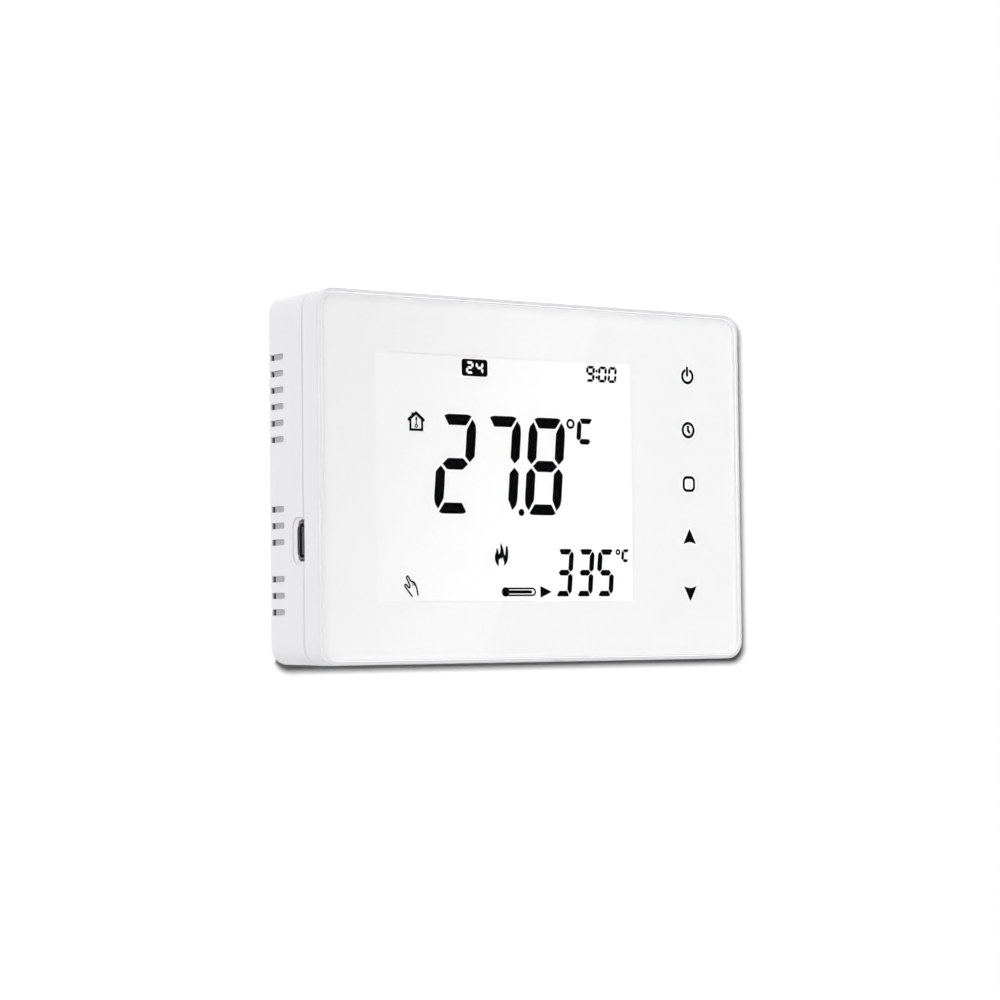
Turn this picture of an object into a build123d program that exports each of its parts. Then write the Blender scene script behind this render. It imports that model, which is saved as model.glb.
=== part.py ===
"""Wall thermostat: a landscape touch-key room thermostat that hooks onto a wall plate.

Millimetres, +Z up. The wall is the plane y = 0 and the room is towards -Y, so every depth
below is a distance out from the wall. The origin is the middle of the wall plate's back.
"""
import os
from math import radians, sqrt, tan

from build123d import *

# ---------------------------------------------------------------- driving dimensions
# The whole thermostat, seen from the room
WIDTH = 130.0
HEIGHT = 90.0
DEPTH = 23.5
CORNER_RADIUS = 4.6

# Casing: a deep rear housing and a shallow front frame that meet at the parting line
WALL_GAP = 0.2              # rear edge of the housing to the wall
BACK_DEPTH = 3.4            # outer face of the back wall; the wall plate lies behind it
BACK_WALL = 1.8
BACK_RIB_WIDTH = 1.2
BACK_RIB_HEIGHT = 1.6
BACK_RIB_LENGTH = 96.0
BACK_RIB_SPACING = 18.0
SUPPORT_INSET = 9.0         # supports behind the touch keys, in from the cavity's side
SUPPORT_SIZE = 4.0
SUPPORT_WALL = 1.0
SUPPORT_GAP = 0.2
PARTING_LAP = 0.5           # parting line to the rear face of the board
PARTING_GAP = 0.3
REVEAL = 0.1                # the housing is this much smaller all round than the frame
SIDE_WALL = 2.2
DRAFT_ANGLE = 0.3
REAR_EDGE_RADIUS = 0.5
TONGUE_LENGTH = 1.6         # lip of the frame inside the housing's rebate
TONGUE_WALL = 1.1
TONGUE_CLEARANCE = 0.1
TAB_SPACING = 70.0          # hooks at the top edge that hold frame and housing together
TAB_WIDTH = 8.0
TAB_LENGTH = 2.0
TAB_BARB = 0.35
TAB_BARB_LENGTH = 0.8

# Front frame and the touch glass set into it
RIM_WIDTH = 0.9
RIM_STEP = 0.15             # the glass stands this far out of the rim
RIM_EDGE_RADIUS = 0.4
POCKET_RADIUS = 4.3         # corners of the pocket that the glass sits in
GLASS_THICKNESS = 1.2
GLASS_CLEARANCE = 0.1
GLASS_BEVEL = 0.4
PRINT_GAP = 0.1             # clear adhesive between glass and print, which isn't modelled
PRINT_THICKNESS = 0.1
TAPE_THICKNESS = 0.2
TAPE_INSET = 0.3            # tape's outer edge, in from the print's
TAPE_WIDTH = 3.0            # from the print's edge to the tape's inner edge
PRINT_INSET = 0.15
FRAME_WEB = 1.2             # the frame's wall behind the glass

# Display window in the print and the display under it
WINDOW_LEFT = 17.0          # printed borders round the window
WINDOW_RIGHT = 35.2
WINDOW_TOP = 14.4
WINDOW_BOTTOM = 15.1
WINDOW_RADIUS = 0.6
POLARISER_BORDER = 1.3      # how far each layer runs past the window
LCD_BORDER = 2.2
CONTACT_LEDGE = 3.5         # the front LCD glass runs past the rear one to the zebra strip
LCD_GLASS = 0.7
POLARISER = 0.2
DIFFUSER = 0.2
LIGHT_GUIDE = 2.1
REFLECTOR = 0.15
STACK_LIFT = 0.1            # reflector film to board
STACK_GAP = 0.15            # front polariser to the print
LCD_CLEARANCE = 0.2
HOLDER_WALL = 2.1
HOLDER_LIP = 0.2            # the holder stops this far short of the front polariser's face
FRAME_WINDOW_CLEARANCE = 0.3

# Touch keys: power, clock, mode, up and down
KEY_INSET = 16.45           # in from the right edge
KEY_COUNT = 5
KEY_PITCH = 14.15
KEY_Z = 0.2
TOUCH_PAD = 8.0
TOUCH_PAD_CLEARANCE = 1.0

# Main board
BOARD_CLEARANCE = 1.55      # board edge to the cavity's side
BOARD_THICKNESS = 1.2
BOARD_NOTCH_CLEARANCE = 0.6
BOARD_HOLE_CLEARANCE = 0.1
FOOT_WIDTH = 1.2            # feet of the display holder, staked through the board
FOOT_HEIGHT = 3.0
FOOT_INSET = 14.0           # in from the top or bottom of the display holder
FOOT_LENGTH = 1.9

# Screws that join housing and frame, and those that hold the board
SCREW_INSET = 5.05          # in from the cavity's sides, at both lower corners
SCREW_SHANK_RADIUS = 1.3
SCREW_HEAD_RADIUS = 2.4
SCREW_HEAD = 1.8
SCREW_LENGTH = 8.0
SCREW_CLEARANCE = 0.05
SCREW_SEAT_DEPTH = 9.4
SCREW_SEAT_WALL = 1.8
POST_RADIUS = 3.6
BOSS_RADIUS = 3.2
BOSS_GAP = 0.1
POST_WEB = 1.2
BOARD_SCREW_INSET = 5.35    # upper left screw, in from the cavity's side
BOARD_SCREW_DROP = 16.5     # and down from its top
BOARD_SCREW_MARGIN = 4.4    # lower right screw, out from the frame's display window
BOARD_SCREW_RADIUS = 1.0
BOARD_SCREW_HEAD_RADIUS = 1.9
BOARD_SCREW_HEAD = 1.2
BOARD_SCREW_LENGTH = 3.0
BOARD_BOSS_RADIUS = 2.2
CROSS_RECESS = 0.6          # depth of the cross, as a share of the head
CROSS_WIDTH = 0.6
HEAD_CLEARANCE = 0.35
SHANK_CLEARANCE = 0.15

LED_WIDTH = 3.8
LED_DEPTH = 1.0
LED_HEIGHT = 1.2
LED_COUNT = 4
LED_GAP = 0.1
ZEBRA_WIDTH = 1.8
ZEBRA_MARGIN = 4.0          # strip end to the end of the glass
FIT_GAP = 0.05              # play between small parts pushed together

# Parts on the rear face of the board; those near an edge are placed from that edge
CONTROLLER_SPOT = (-6.0, 3.0)
CONTROLLER_SIZE = (11.6, 7.5, 2.3)
CONTROLLER_STANDOFF = 0.15
CONTROLLER_PINS = 9         # along each long side
PIN_PITCH = 1.27
PIN_WIDTH = 0.42
PIN_THICKNESS = 0.25
PIN_REACH = 1.4
PIN_FOOT = 0.8
RADIO_INSET = 10.5          # from the board's right edge
RADIO_RISE = 0.2            # up from the support behind it
RADIO_SIZE = (18.0, 17.0, 0.8)
SHIELD_SIZE = (13.0, 12.0, 1.9)
SHIELD_WALL = 0.2
ANTENNA_STRIP = 0.8
ANTENNA_SHIFT = (-6.5, 7.0) # foot of the antenna, from the radio board's middle
ANTENNA_RISE = 5.4
ANTENNA_DROP = 8.0          # down from the board's top edge
ANTENNA_RUN = 65.0
BUZZER_SPOT = (-28.0, 22.0)
BUZZER_RADIUS = 6.0
BUZZER_HEIGHT = 8.5
BUZZER_HOLE_RADIUS = 1.0
BUZZER_HOLE_DEPTH = 1.5
CRYSTAL_SPOT = (13.0, 14.0)
CRYSTAL_SIZE = (10.2, 3.8, 3.5)
CELL_X = 12.0
CELL_RISE = 21.0            # up from the board's lower edge
CELL_RADIUS = 10.0
CELL_THICKNESS = 3.2
CELL_PLAY = 0.15
CELL_HOLDER_WALL = 1.4
CELL_HOLDER_FLOOR = 0.8
CELL_HOLDER_RIM = 2.6
CELL_GATE_WIDTH = 9.0
CLIP_WIDTH = 5.0
CLIP_THICKNESS = 0.3
CAPACITOR_INSET = 20.0      # from the board's left edge
CAPACITOR_PITCH = 9.0
CAPACITOR_RADIUS = 3.15
CAPACITOR_HEIGHT = 7.7
CAPACITOR_BASE = 6.6
CAPACITOR_BASE_HEIGHT = 1.0
REGULATOR_INSET = 15.0      # from the board's left edge
REGULATOR_SIZE = (3.5, 6.5, 1.6)
REGULATOR_LEG_PITCH = 2.3
REGULATOR_LEG_WIDTH = 0.75
REGULATOR_LEG_LENGTH = 1.7
REGULATOR_TAB_WIDTH = 3.0
SENSOR_INSET = (4.0, 11.0)  # from the board's lower left corner
SENSOR_BODY = (4.2, 3.0, 3.6)
SENSOR_CORNER = 1.2
SENSOR_LEG_SIZE = 0.45
SENSOR_LEG_PITCH = 1.27
SENSOR_LEG_LENGTH = 3.0
CHIP_SIZE = (1.6, 0.8, 0.5)
CHIP_PITCH = (3.0, 15.0)
CHIP_COLUMNS = 5

# Vent slots round the rear side edges
VENT_PITCH = 4.0
VENT_HEIGHT = 1.5
VENT_LENGTH = 7.1           # front end of a slot, out from the wall
VENT_OPENING = 1.8          # front end of the part that is open, out from the wall
VENT_GROOVE = 0.7           # depth of the blind groove ahead of the open part
VENT_MIDDLES = (19.7, -11.2, -28.1)
VENT_COUNTS = (6, 3, 3)
VENT_END_RADIUS = 0.6
BACK_VENT_LENGTH = 6.5
CUT_MARGIN = 1.0            # how far a cutting tool starts outside the casing

# USB socket on the left side
USB_Z = -15.1
USB_SHELL_WIDTH = 8.94
USB_SHELL_THICKNESS = 3.26
USB_SHELL_LENGTH = 8.4
USB_SHELL_WALL = 0.3
USB_SETBACK = 0.45          # socket mouth behind the side face
USB_OPENING_HEIGHT = 10.1
USB_OPENING_CLEARANCE = 0.2
USB_OPENING_RADIUS = 1.5
USB_RECESS_HEIGHT = 11.3
USB_RECESS_REAR = 10.9      # rear end of the recess, out from the wall
USB_RECESS_DEPTH = 0.3
USB_RECESS_RADIUS = 2.4
LARGEST_ROUND = 0.9         # a corner takes up no more than this share of its side
USB_TONGUE_WIDTH = 6.69
USB_TONGUE_THICKNESS = 0.7
USB_TONGUE_SETBACK = 0.2
USB_TONGUE_BASE = 1.6
USB_TAB = (0.9, 0.6)
USB_TAB_SPACING = (3.2, 8.1)

# Wall plate
PLATE_INSET_X = 8.55        # in from the housing's skirt
PLATE_INSET_Z = 6.55
PLATE_THICKNESS = 2.0
PLATE_RADIUS = 5.0
WALL_SCREW_SPACING = 60.0
WALL_SLOT_RADIUS = 2.1
WALL_SLOT_LENGTH = 9.0
HEAD_SEAT_RADIUS = 4.0
HEAD_SEAT_DEPTH = 0.7
PLATE_WINDOW_WIDTH = 34.0
PLATE_WINDOW_HEIGHT = 40.0
PLATE_WINDOW_CORNER = 4.0

# Hooks of the wall plate and the travel that frees the thermostat from them
HOOK_INSET = 12.0           # in from the plate's sides
UPPER_HOOK_DROP = 15.0      # down from the plate's top
LOWER_HOOK_RISE = 9.0       # up from the plate's bottom
HOOK_WIDTH = 8.0
HOOK_STEM = 2.5
HOOK_LIP = 3.5
HOOK_LIP_THICKNESS = 1.6
HOOK_TRAVEL = 4.0
HOOK_CLEARANCE = 0.2

# ---------------------------------------------------------------- derived sizes
# Depths of the glass, the display and the board, counted back from the front
GLASS_REAR = DEPTH - GLASS_THICKNESS
PRINT_REAR = GLASS_REAR - PRINT_GAP - PRINT_THICKNESS
WEB_FRONT = PRINT_REAR - TAPE_THICKNESS
WEB_REAR = WEB_FRONT - FRAME_WEB
RIM_DEPTH = DEPTH - RIM_STEP
FRONT_POLARISER_REAR = PRINT_REAR - STACK_GAP - POLARISER
FRONT_GLASS_REAR = FRONT_POLARISER_REAR - LCD_GLASS
REAR_GLASS_REAR = FRONT_GLASS_REAR - LCD_GLASS
REAR_POLARISER_REAR = REAR_GLASS_REAR - POLARISER
DIFFUSER_REAR = REAR_POLARISER_REAR - DIFFUSER
GUIDE_REAR = DIFFUSER_REAR - LIGHT_GUIDE
REFLECTOR_REAR = GUIDE_REAR - REFLECTOR
BOARD_FRONT = REFLECTOR_REAR - STACK_LIFT
BOARD_DEPTH = BOARD_FRONT - BOARD_THICKNESS
PARTING_DEPTH = BOARD_DEPTH - PARTING_LAP

# Casing
HOUSING_WIDTH = WIDTH - 2 * REVEAL
HOUSING_HEIGHT = HEIGHT - 2 * REVEAL
HOUSING_RADIUS = CORNER_RADIUS - REVEAL
HOUSING_FRONT = PARTING_DEPTH - PARTING_GAP / 2
FRAME_REAR = PARTING_DEPTH + PARTING_GAP / 2
HOUSING_LENGTH = HOUSING_FRONT - WALL_GAP
DRAFT = HOUSING_LENGTH * tan(radians(DRAFT_ANGLE))
CAVITY_WIDTH = HOUSING_WIDTH - 2 * SIDE_WALL
CAVITY_HEIGHT = HOUSING_HEIGHT - 2 * SIDE_WALL
CAVITY_RADIUS = HOUSING_RADIUS - SIDE_WALL
BACK_INNER = BACK_DEPTH + BACK_WALL
TONGUE_REAR = FRAME_REAR - TONGUE_LENGTH
TONGUE_GROWTH = TONGUE_WALL + TONGUE_CLEARANCE
TAB_REAR = TONGUE_REAR - TAB_LENGTH
POCKET_WIDTH = WIDTH - 2 * RIM_WIDTH
POCKET_HEIGHT = HEIGHT - 2 * RIM_WIDTH
GLASS_WIDTH = POCKET_WIDTH - 2 * GLASS_CLEARANCE
GLASS_HEIGHT = POCKET_HEIGHT - 2 * GLASS_CLEARANCE
GLASS_RADIUS = POCKET_RADIUS - GLASS_CLEARANCE
PRINT_WIDTH = GLASS_WIDTH - 2 * PRINT_INSET
PRINT_HEIGHT = GLASS_HEIGHT - 2 * PRINT_INSET
PRINT_RADIUS = GLASS_RADIUS - PRINT_INSET

# Display
WINDOW_WIDTH = WIDTH - WINDOW_LEFT - WINDOW_RIGHT
WINDOW_HEIGHT = HEIGHT - WINDOW_TOP - WINDOW_BOTTOM
WINDOW_X = (WINDOW_LEFT - WINDOW_RIGHT) / 2
WINDOW_Z = (WINDOW_BOTTOM - WINDOW_TOP) / 2
LCD_WIDTH = WINDOW_WIDTH + 2 * LCD_BORDER
LCD_HEIGHT = WINDOW_HEIGHT + 2 * LCD_BORDER
FRONT_GLASS_HEIGHT = LCD_HEIGHT + CONTACT_LEDGE
FRONT_GLASS_Z = WINDOW_Z - CONTACT_LEDGE / 2
FILM_WIDTH = WINDOW_WIDTH + 2 * POLARISER_BORDER
FILM_HEIGHT = WINDOW_HEIGHT + 2 * POLARISER_BORDER
LCD_POCKET_WIDTH = LCD_WIDTH + 2 * LCD_CLEARANCE
LCD_POCKET_HEIGHT = FRONT_GLASS_HEIGHT + 2 * LCD_CLEARANCE
HOLDER_WIDTH = LCD_POCKET_WIDTH + 2 * HOLDER_WALL
HOLDER_HEIGHT = LCD_POCKET_HEIGHT + 2 * HOLDER_WALL
HOLDER_FRONT = FRONT_POLARISER_REAR + POLARISER - HOLDER_LIP
FRAME_WINDOW_WIDTH = HOLDER_WIDTH + 2 * FRAME_WINDOW_CLEARANCE
FRAME_WINDOW_HEIGHT = HOLDER_HEIGHT + 2 * FRAME_WINDOW_CLEARANCE
FOOT_X = (HOLDER_WIDTH - HOLDER_WALL) / 2
FOOT_Z = HOLDER_HEIGHT / 2 - FOOT_INSET
LED_X = WINDOW_X - FILM_WIDTH / 2 - LED_GAP - LED_DEPTH / 2
LED_PITCH = FILM_HEIGHT / LED_COUNT
ZEBRA_Z = WINDOW_Z - LCD_HEIGHT / 2 - CONTACT_LEDGE / 2
ZEBRA_LENGTH = LCD_WIDTH - 2 * ZEBRA_MARGIN
KEY_X = WIDTH / 2 - KEY_INSET

# Board, screws and what sits near the board's edges
BOARD_WIDTH = CAVITY_WIDTH - 2 * BOARD_CLEARANCE
BOARD_HEIGHT = CAVITY_HEIGHT - 2 * BOARD_CLEARANCE
SCREW_X = CAVITY_WIDTH / 2 - SCREW_INSET
SCREW_Z = -CAVITY_HEIGHT / 2 + SCREW_INSET
SCREW_SPOTS = ((-SCREW_X, SCREW_Z), (SCREW_X, SCREW_Z))
BOARD_SCREW_SPOTS = (
    (BOARD_SCREW_INSET - CAVITY_WIDTH / 2, CAVITY_HEIGHT / 2 - BOARD_SCREW_DROP),
    (WINDOW_X + FRAME_WINDOW_WIDTH / 2 + BOARD_SCREW_MARGIN, KEY_Z - 1.5 * KEY_PITCH),
)
POST_FRONT = SCREW_SEAT_DEPTH + SCREW_SEAT_WALL
BOSS_REAR = POST_FRONT + BOSS_GAP
SUPPORT_X = CAVITY_WIDTH / 2 - SUPPORT_INSET
SUPPORT_HEIGHTS = (KEY_Z + KEY_PITCH / 2, KEY_Z - 1.5 * KEY_PITCH)
RADIO_FOOT = SUPPORT_HEIGHTS[0] + SUPPORT_SIZE / 2 + RADIO_RISE
RADIO_SPOT = (BOARD_WIDTH / 2 - RADIO_INSET, RADIO_FOOT + RADIO_SIZE[1] / 2)
CELL_SPOT = (CELL_X, CELL_RISE - BOARD_HEIGHT / 2)
CAPACITOR_X = -BOARD_WIDTH / 2 + CAPACITOR_INSET
REGULATOR_SPOT = (-BOARD_WIDTH / 2 + REGULATOR_INSET, USB_Z)
SENSOR_SPOT = (-BOARD_WIDTH / 2 + SENSOR_INSET[0], -BOARD_HEIGHT / 2 + SENSOR_INSET[1])
CELL_SEAT = BOARD_DEPTH - CELL_HOLDER_FLOOR

# USB socket, on the rear face of the board
USB_REAR = BOARD_DEPTH - USB_SHELL_THICKNESS
USB_CENTRE = BOARD_DEPTH - USB_SHELL_THICKNESS / 2
USB_OPENING_REAR = USB_REAR - USB_OPENING_CLEARANCE
USB_OPENING_FRONT = BOARD_DEPTH + USB_OPENING_CLEARANCE
USB_MOUTH_X = -WIDTH / 2 + USB_SETBACK
USB_TAB_X = USB_MOUTH_X + USB_SHELL_LENGTH - USB_TAB_SPACING[0] / 2 - USB_TAB[0]

# Wall plate and its hooks
PLATE_WIDTH = CAVITY_WIDTH - 2 * PLATE_INSET_X
PLATE_HEIGHT = CAVITY_HEIGHT - 2 * PLATE_INSET_Z
HOOK_X = PLATE_WIDTH / 2 - HOOK_INSET
HOOK_HEIGHTS = (PLATE_HEIGHT / 2 - UPPER_HOOK_DROP, -PLATE_HEIGHT / 2 + LOWER_HOOK_RISE)
HOOK_LIP_REAR = BACK_INNER + HOOK_CLEARANCE
HOOK_FRONT = HOOK_LIP_REAR + HOOK_LIP_THICKNESS

os.makedirs("parts", exist_ok=True)


def layer(depth):
    """Sketch plane parallel to the wall and facing the room, at this distance from the wall."""
    return Plane.XZ.offset(depth)


def cut_corner_rectangle(width, height, radius, mode=Mode.ADD):
    """Rectangle with straight cut corners that just touch arcs of this radius."""
    cut = radius * (2 - sqrt(2))
    corner_x = width / 2
    corner_z = height / 2
    Polygon(
        (corner_x - cut, corner_z),
        (cut - corner_x, corner_z),
        (-corner_x, corner_z - cut),
        (-corner_x, cut - corner_z),
        (cut - corner_x, -corner_z),
        (corner_x - cut, -corner_z),
        (corner_x, cut - corner_z),
        (corner_x, corner_z - cut),
        mode=mode,
    )


def side_plane(x):
    """Sketch plane facing left at this x: its first axis is depth from the wall, its second is z."""
    return Plane(origin=(x, 0, 0), x_dir=(0, -1, 0), z_dir=(-1, 0, 0))


def vent_heights():
    """Heights of the middles of all vent slots on one side."""
    return [
        middle + (row - (count - 1) / 2) * VENT_PITCH
        for middle, count in zip(VENT_MIDDLES, VENT_COUNTS)
        for row in range(count)
    ]


def save(piece, name):
    """Label a finished piece and write it under its node's name."""
    piece.part.label = name
    export_step(piece.part, f"parts/{name}.step")


# ---------------------------------------------------------------- wall plate
def hook_profile(foot):
    """Outline of one hook seen from the side: a stem out of the plate and a lip pointing up."""
    stem_top = foot + HOOK_STEM
    lip_top = stem_top + HOOK_LIP
    Polyline(
        (PLATE_THICKNESS, foot),
        (HOOK_FRONT, foot),
        (HOOK_FRONT, lip_top),
        (HOOK_LIP_REAR, lip_top),
        (HOOK_LIP_REAR, stem_top),
        (PLATE_THICKNESS, stem_top),
        close=True,
    )


with BuildPart() as wall_plate:
    with BuildSketch(layer(0)):
        RectangleRounded(PLATE_WIDTH, PLATE_HEIGHT, PLATE_RADIUS)
        cut_corner_rectangle(PLATE_WINDOW_WIDTH, PLATE_WINDOW_HEIGHT, PLATE_WINDOW_CORNER, Mode.SUBTRACT)
    extrude(amount=PLATE_THICKNESS)
    with BuildSketch(layer(0)):
        with GridLocations(WALL_SCREW_SPACING, 0, 2, 1):
            SlotOverall(WALL_SLOT_LENGTH, 2 * WALL_SLOT_RADIUS)
    extrude(amount=PLATE_THICKNESS, mode=Mode.SUBTRACT)
    with BuildSketch(layer(PLATE_THICKNESS)):
        with GridLocations(WALL_SCREW_SPACING, 0, 2, 1):
            seat_length = WALL_SLOT_LENGTH + 2 * (HEAD_SEAT_RADIUS - WALL_SLOT_RADIUS)
            cut_corner_rectangle(seat_length, 2 * HEAD_SEAT_RADIUS, HEAD_SEAT_RADIUS)
    extrude(amount=-HEAD_SEAT_DEPTH, mode=Mode.SUBTRACT)
    for hook_height in HOOK_HEIGHTS:
        for hook_side in (-1, 1):
            with BuildSketch(side_plane(hook_side * HOOK_X)):
                with BuildLine():
                    hook_profile(hook_height)
                make_face()
            extrude(amount=HOOK_WIDTH / 2, both=True)
save(wall_plate, "wall_plate")

# ---------------------------------------------------------------- rear housing
with BuildPart() as rear_housing:
    with BuildSketch(layer(WALL_GAP)):
        RectangleRounded(HOUSING_WIDTH - 2 * DRAFT, HOUSING_HEIGHT - 2 * DRAFT, HOUSING_RADIUS - DRAFT)
    extrude(amount=HOUSING_LENGTH, taper=-DRAFT_ANGLE)
    rear_face = rear_housing.faces().sort_by(Axis.Y)[-1]
    fillet(rear_face.edges(), REAR_EDGE_RADIUS)
    with BuildSketch(layer(BACK_INNER)):
        cut_corner_rectangle(CAVITY_WIDTH, CAVITY_HEIGHT, CAVITY_RADIUS)
    extrude(amount=HOUSING_FRONT - BACK_INNER, mode=Mode.SUBTRACT)
    with BuildSketch(layer(WALL_GAP)):
        cut_corner_rectangle(CAVITY_WIDTH, CAVITY_HEIGHT, CAVITY_RADIUS)
    extrude(amount=BACK_DEPTH - WALL_GAP, mode=Mode.SUBTRACT)
    # Rebate for the frame's tongue
    with BuildSketch(layer(TONGUE_REAR - TONGUE_CLEARANCE)):
        cut_corner_rectangle(
            CAVITY_WIDTH + 2 * TONGUE_GROWTH,
            CAVITY_HEIGHT + 2 * TONGUE_GROWTH,
            CAVITY_RADIUS + TONGUE_GROWTH,
        )
    extrude(amount=TONGUE_LENGTH + TONGUE_CLEARANCE, mode=Mode.SUBTRACT)
    # Pockets for the frame's two hooks, deeper where the barbs catch
    with BuildSketch(layer(TAB_REAR - TONGUE_CLEARANCE)):
        with Locations((0, (CAVITY_HEIGHT + TONGUE_GROWTH) / 2)):
            with GridLocations(TAB_SPACING, 0, 2, 1):
                Rectangle(TAB_WIDTH + 2 * TONGUE_CLEARANCE, TONGUE_GROWTH)
    extrude(amount=TAB_LENGTH, mode=Mode.SUBTRACT)
    with BuildSketch(layer(TAB_REAR - TONGUE_CLEARANCE)):
        with Locations((0, (CAVITY_HEIGHT + TAB_BARB) / 2 + TONGUE_GROWTH)):
            with GridLocations(TAB_SPACING, 0, 2, 1):
                Rectangle(TAB_WIDTH + 2 * TONGUE_CLEARANCE, TAB_BARB)
    extrude(amount=TAB_BARB_LENGTH + 2 * TONGUE_CLEARANCE, mode=Mode.SUBTRACT)
    # Screw posts, tied to the side walls by webs
    with BuildSketch(layer(BACK_INNER)):
        with Locations(*SCREW_SPOTS):
            cut_corner_rectangle(2 * POST_RADIUS, 2 * POST_RADIUS, POST_RADIUS)
            with Locations((0, -SCREW_INSET / 2)):
                Rectangle(POST_WEB, SCREW_INSET)
        with Locations((0, SCREW_Z)):
            with GridLocations(2 * SCREW_X + SCREW_INSET, 0, 2, 1):
                Rectangle(SCREW_INSET, POST_WEB)
    extrude(amount=POST_FRONT - BACK_INNER)
    # Ribs across the inside of the back wall, and supports behind the touch keys
    with BuildSketch(layer(BACK_INNER)):
        with GridLocations(0, BACK_RIB_SPACING, 1, 2):
            Rectangle(BACK_RIB_LENGTH, BACK_RIB_WIDTH)
    extrude(amount=BACK_RIB_HEIGHT)
    with BuildSketch(layer(BACK_INNER)):
        with Locations(*[(SUPPORT_X, height) for height in SUPPORT_HEIGHTS]):
            Rectangle(SUPPORT_SIZE, SUPPORT_WALL)
            Rectangle(SUPPORT_WALL, SUPPORT_SIZE)
    extrude(amount=BOARD_DEPTH - SUPPORT_GAP - BACK_INNER)
    # Screw holes, with the heads let in from the back
    with BuildSketch(layer(BACK_DEPTH)):
        with Locations(*SCREW_SPOTS):
            Circle(SCREW_HEAD_RADIUS + HEAD_CLEARANCE)
    extrude(amount=SCREW_SEAT_DEPTH - BACK_DEPTH, mode=Mode.SUBTRACT)
    with BuildSketch(layer(SCREW_SEAT_DEPTH)):
        with Locations(*SCREW_SPOTS):
            Circle(SCREW_SHANK_RADIUS + SHANK_CLEARANCE)
    extrude(amount=SCREW_SEAT_WALL, mode=Mode.SUBTRACT)
    # Slots that the wall plate's hooks pass through, tall enough for the lips at full travel
    with BuildSketch(layer(BACK_DEPTH)):
        for hook_height in HOOK_HEIGHTS:
            slot_top = hook_height + HOOK_STEM + HOOK_CLEARANCE
            slot_foot = hook_height - HOOK_TRAVEL - HOOK_CLEARANCE
            with Locations((0, (slot_top + slot_foot) / 2)):
                with GridLocations(2 * HOOK_X, 0, 2, 1):
                    Rectangle(HOOK_WIDTH + 2 * HOOK_CLEARANCE, slot_top - slot_foot)
    extrude(amount=BACK_WALL, mode=Mode.SUBTRACT)
    # Vents: slots through the skirt that run on as blind grooves, and slots in the back wall
    for side in (-1, 1):
        outside = side * (WIDTH / 2 + CUT_MARGIN)
        groove_floor = HOUSING_WIDTH / 2 - DRAFT / 2 - VENT_GROOVE
        with BuildSketch(side_plane(outside)):
            with Locations(*[(0, height) for height in vent_heights()]):
                cut_corner_rectangle(2 * VENT_LENGTH, VENT_HEIGHT, VENT_END_RADIUS)
        extrude(amount=side * (abs(outside) - groove_floor), mode=Mode.SUBTRACT)
        with BuildSketch(side_plane(outside)):
            with Locations(*[(0, height) for height in vent_heights()]):
                Rectangle(2 * VENT_OPENING, VENT_HEIGHT)
        extrude(amount=side * (abs(outside) - CAVITY_WIDTH / 2), mode=Mode.SUBTRACT)
        with BuildSketch(layer(BACK_DEPTH)):
            middle = side * (CAVITY_WIDTH - BACK_VENT_LENGTH) / 2
            with Locations(*[(middle, height) for height in vent_heights()]):
                Rectangle(BACK_VENT_LENGTH, VENT_HEIGHT)
        extrude(amount=BACK_WALL, mode=Mode.SUBTRACT)
    # USB socket: a shallow recess for the plug's grip round the opening for the socket
    with BuildSketch(side_plane(-WIDTH / 2 - CUT_MARGIN)):
        with Locations((HOUSING_FRONT, USB_Z)):
            RectangleRounded(2 * (HOUSING_FRONT - USB_RECESS_REAR), USB_RECESS_HEIGHT, USB_RECESS_RADIUS)
    extrude(amount=-(CUT_MARGIN + REVEAL + USB_RECESS_DEPTH), mode=Mode.SUBTRACT)
    with BuildSketch(side_plane(-WIDTH / 2 - CUT_MARGIN)):
        with Locations((HOUSING_FRONT, USB_Z)):
            opening_radius = min(USB_OPENING_RADIUS, (HOUSING_FRONT - USB_OPENING_REAR) * LARGEST_ROUND)
            RectangleRounded(2 * (HOUSING_FRONT - USB_OPENING_REAR), USB_OPENING_HEIGHT, opening_radius)
    extrude(amount=-(CUT_MARGIN + REVEAL + SIDE_WALL + CUT_MARGIN), mode=Mode.SUBTRACT)
save(rear_housing, "rear_housing")

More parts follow.
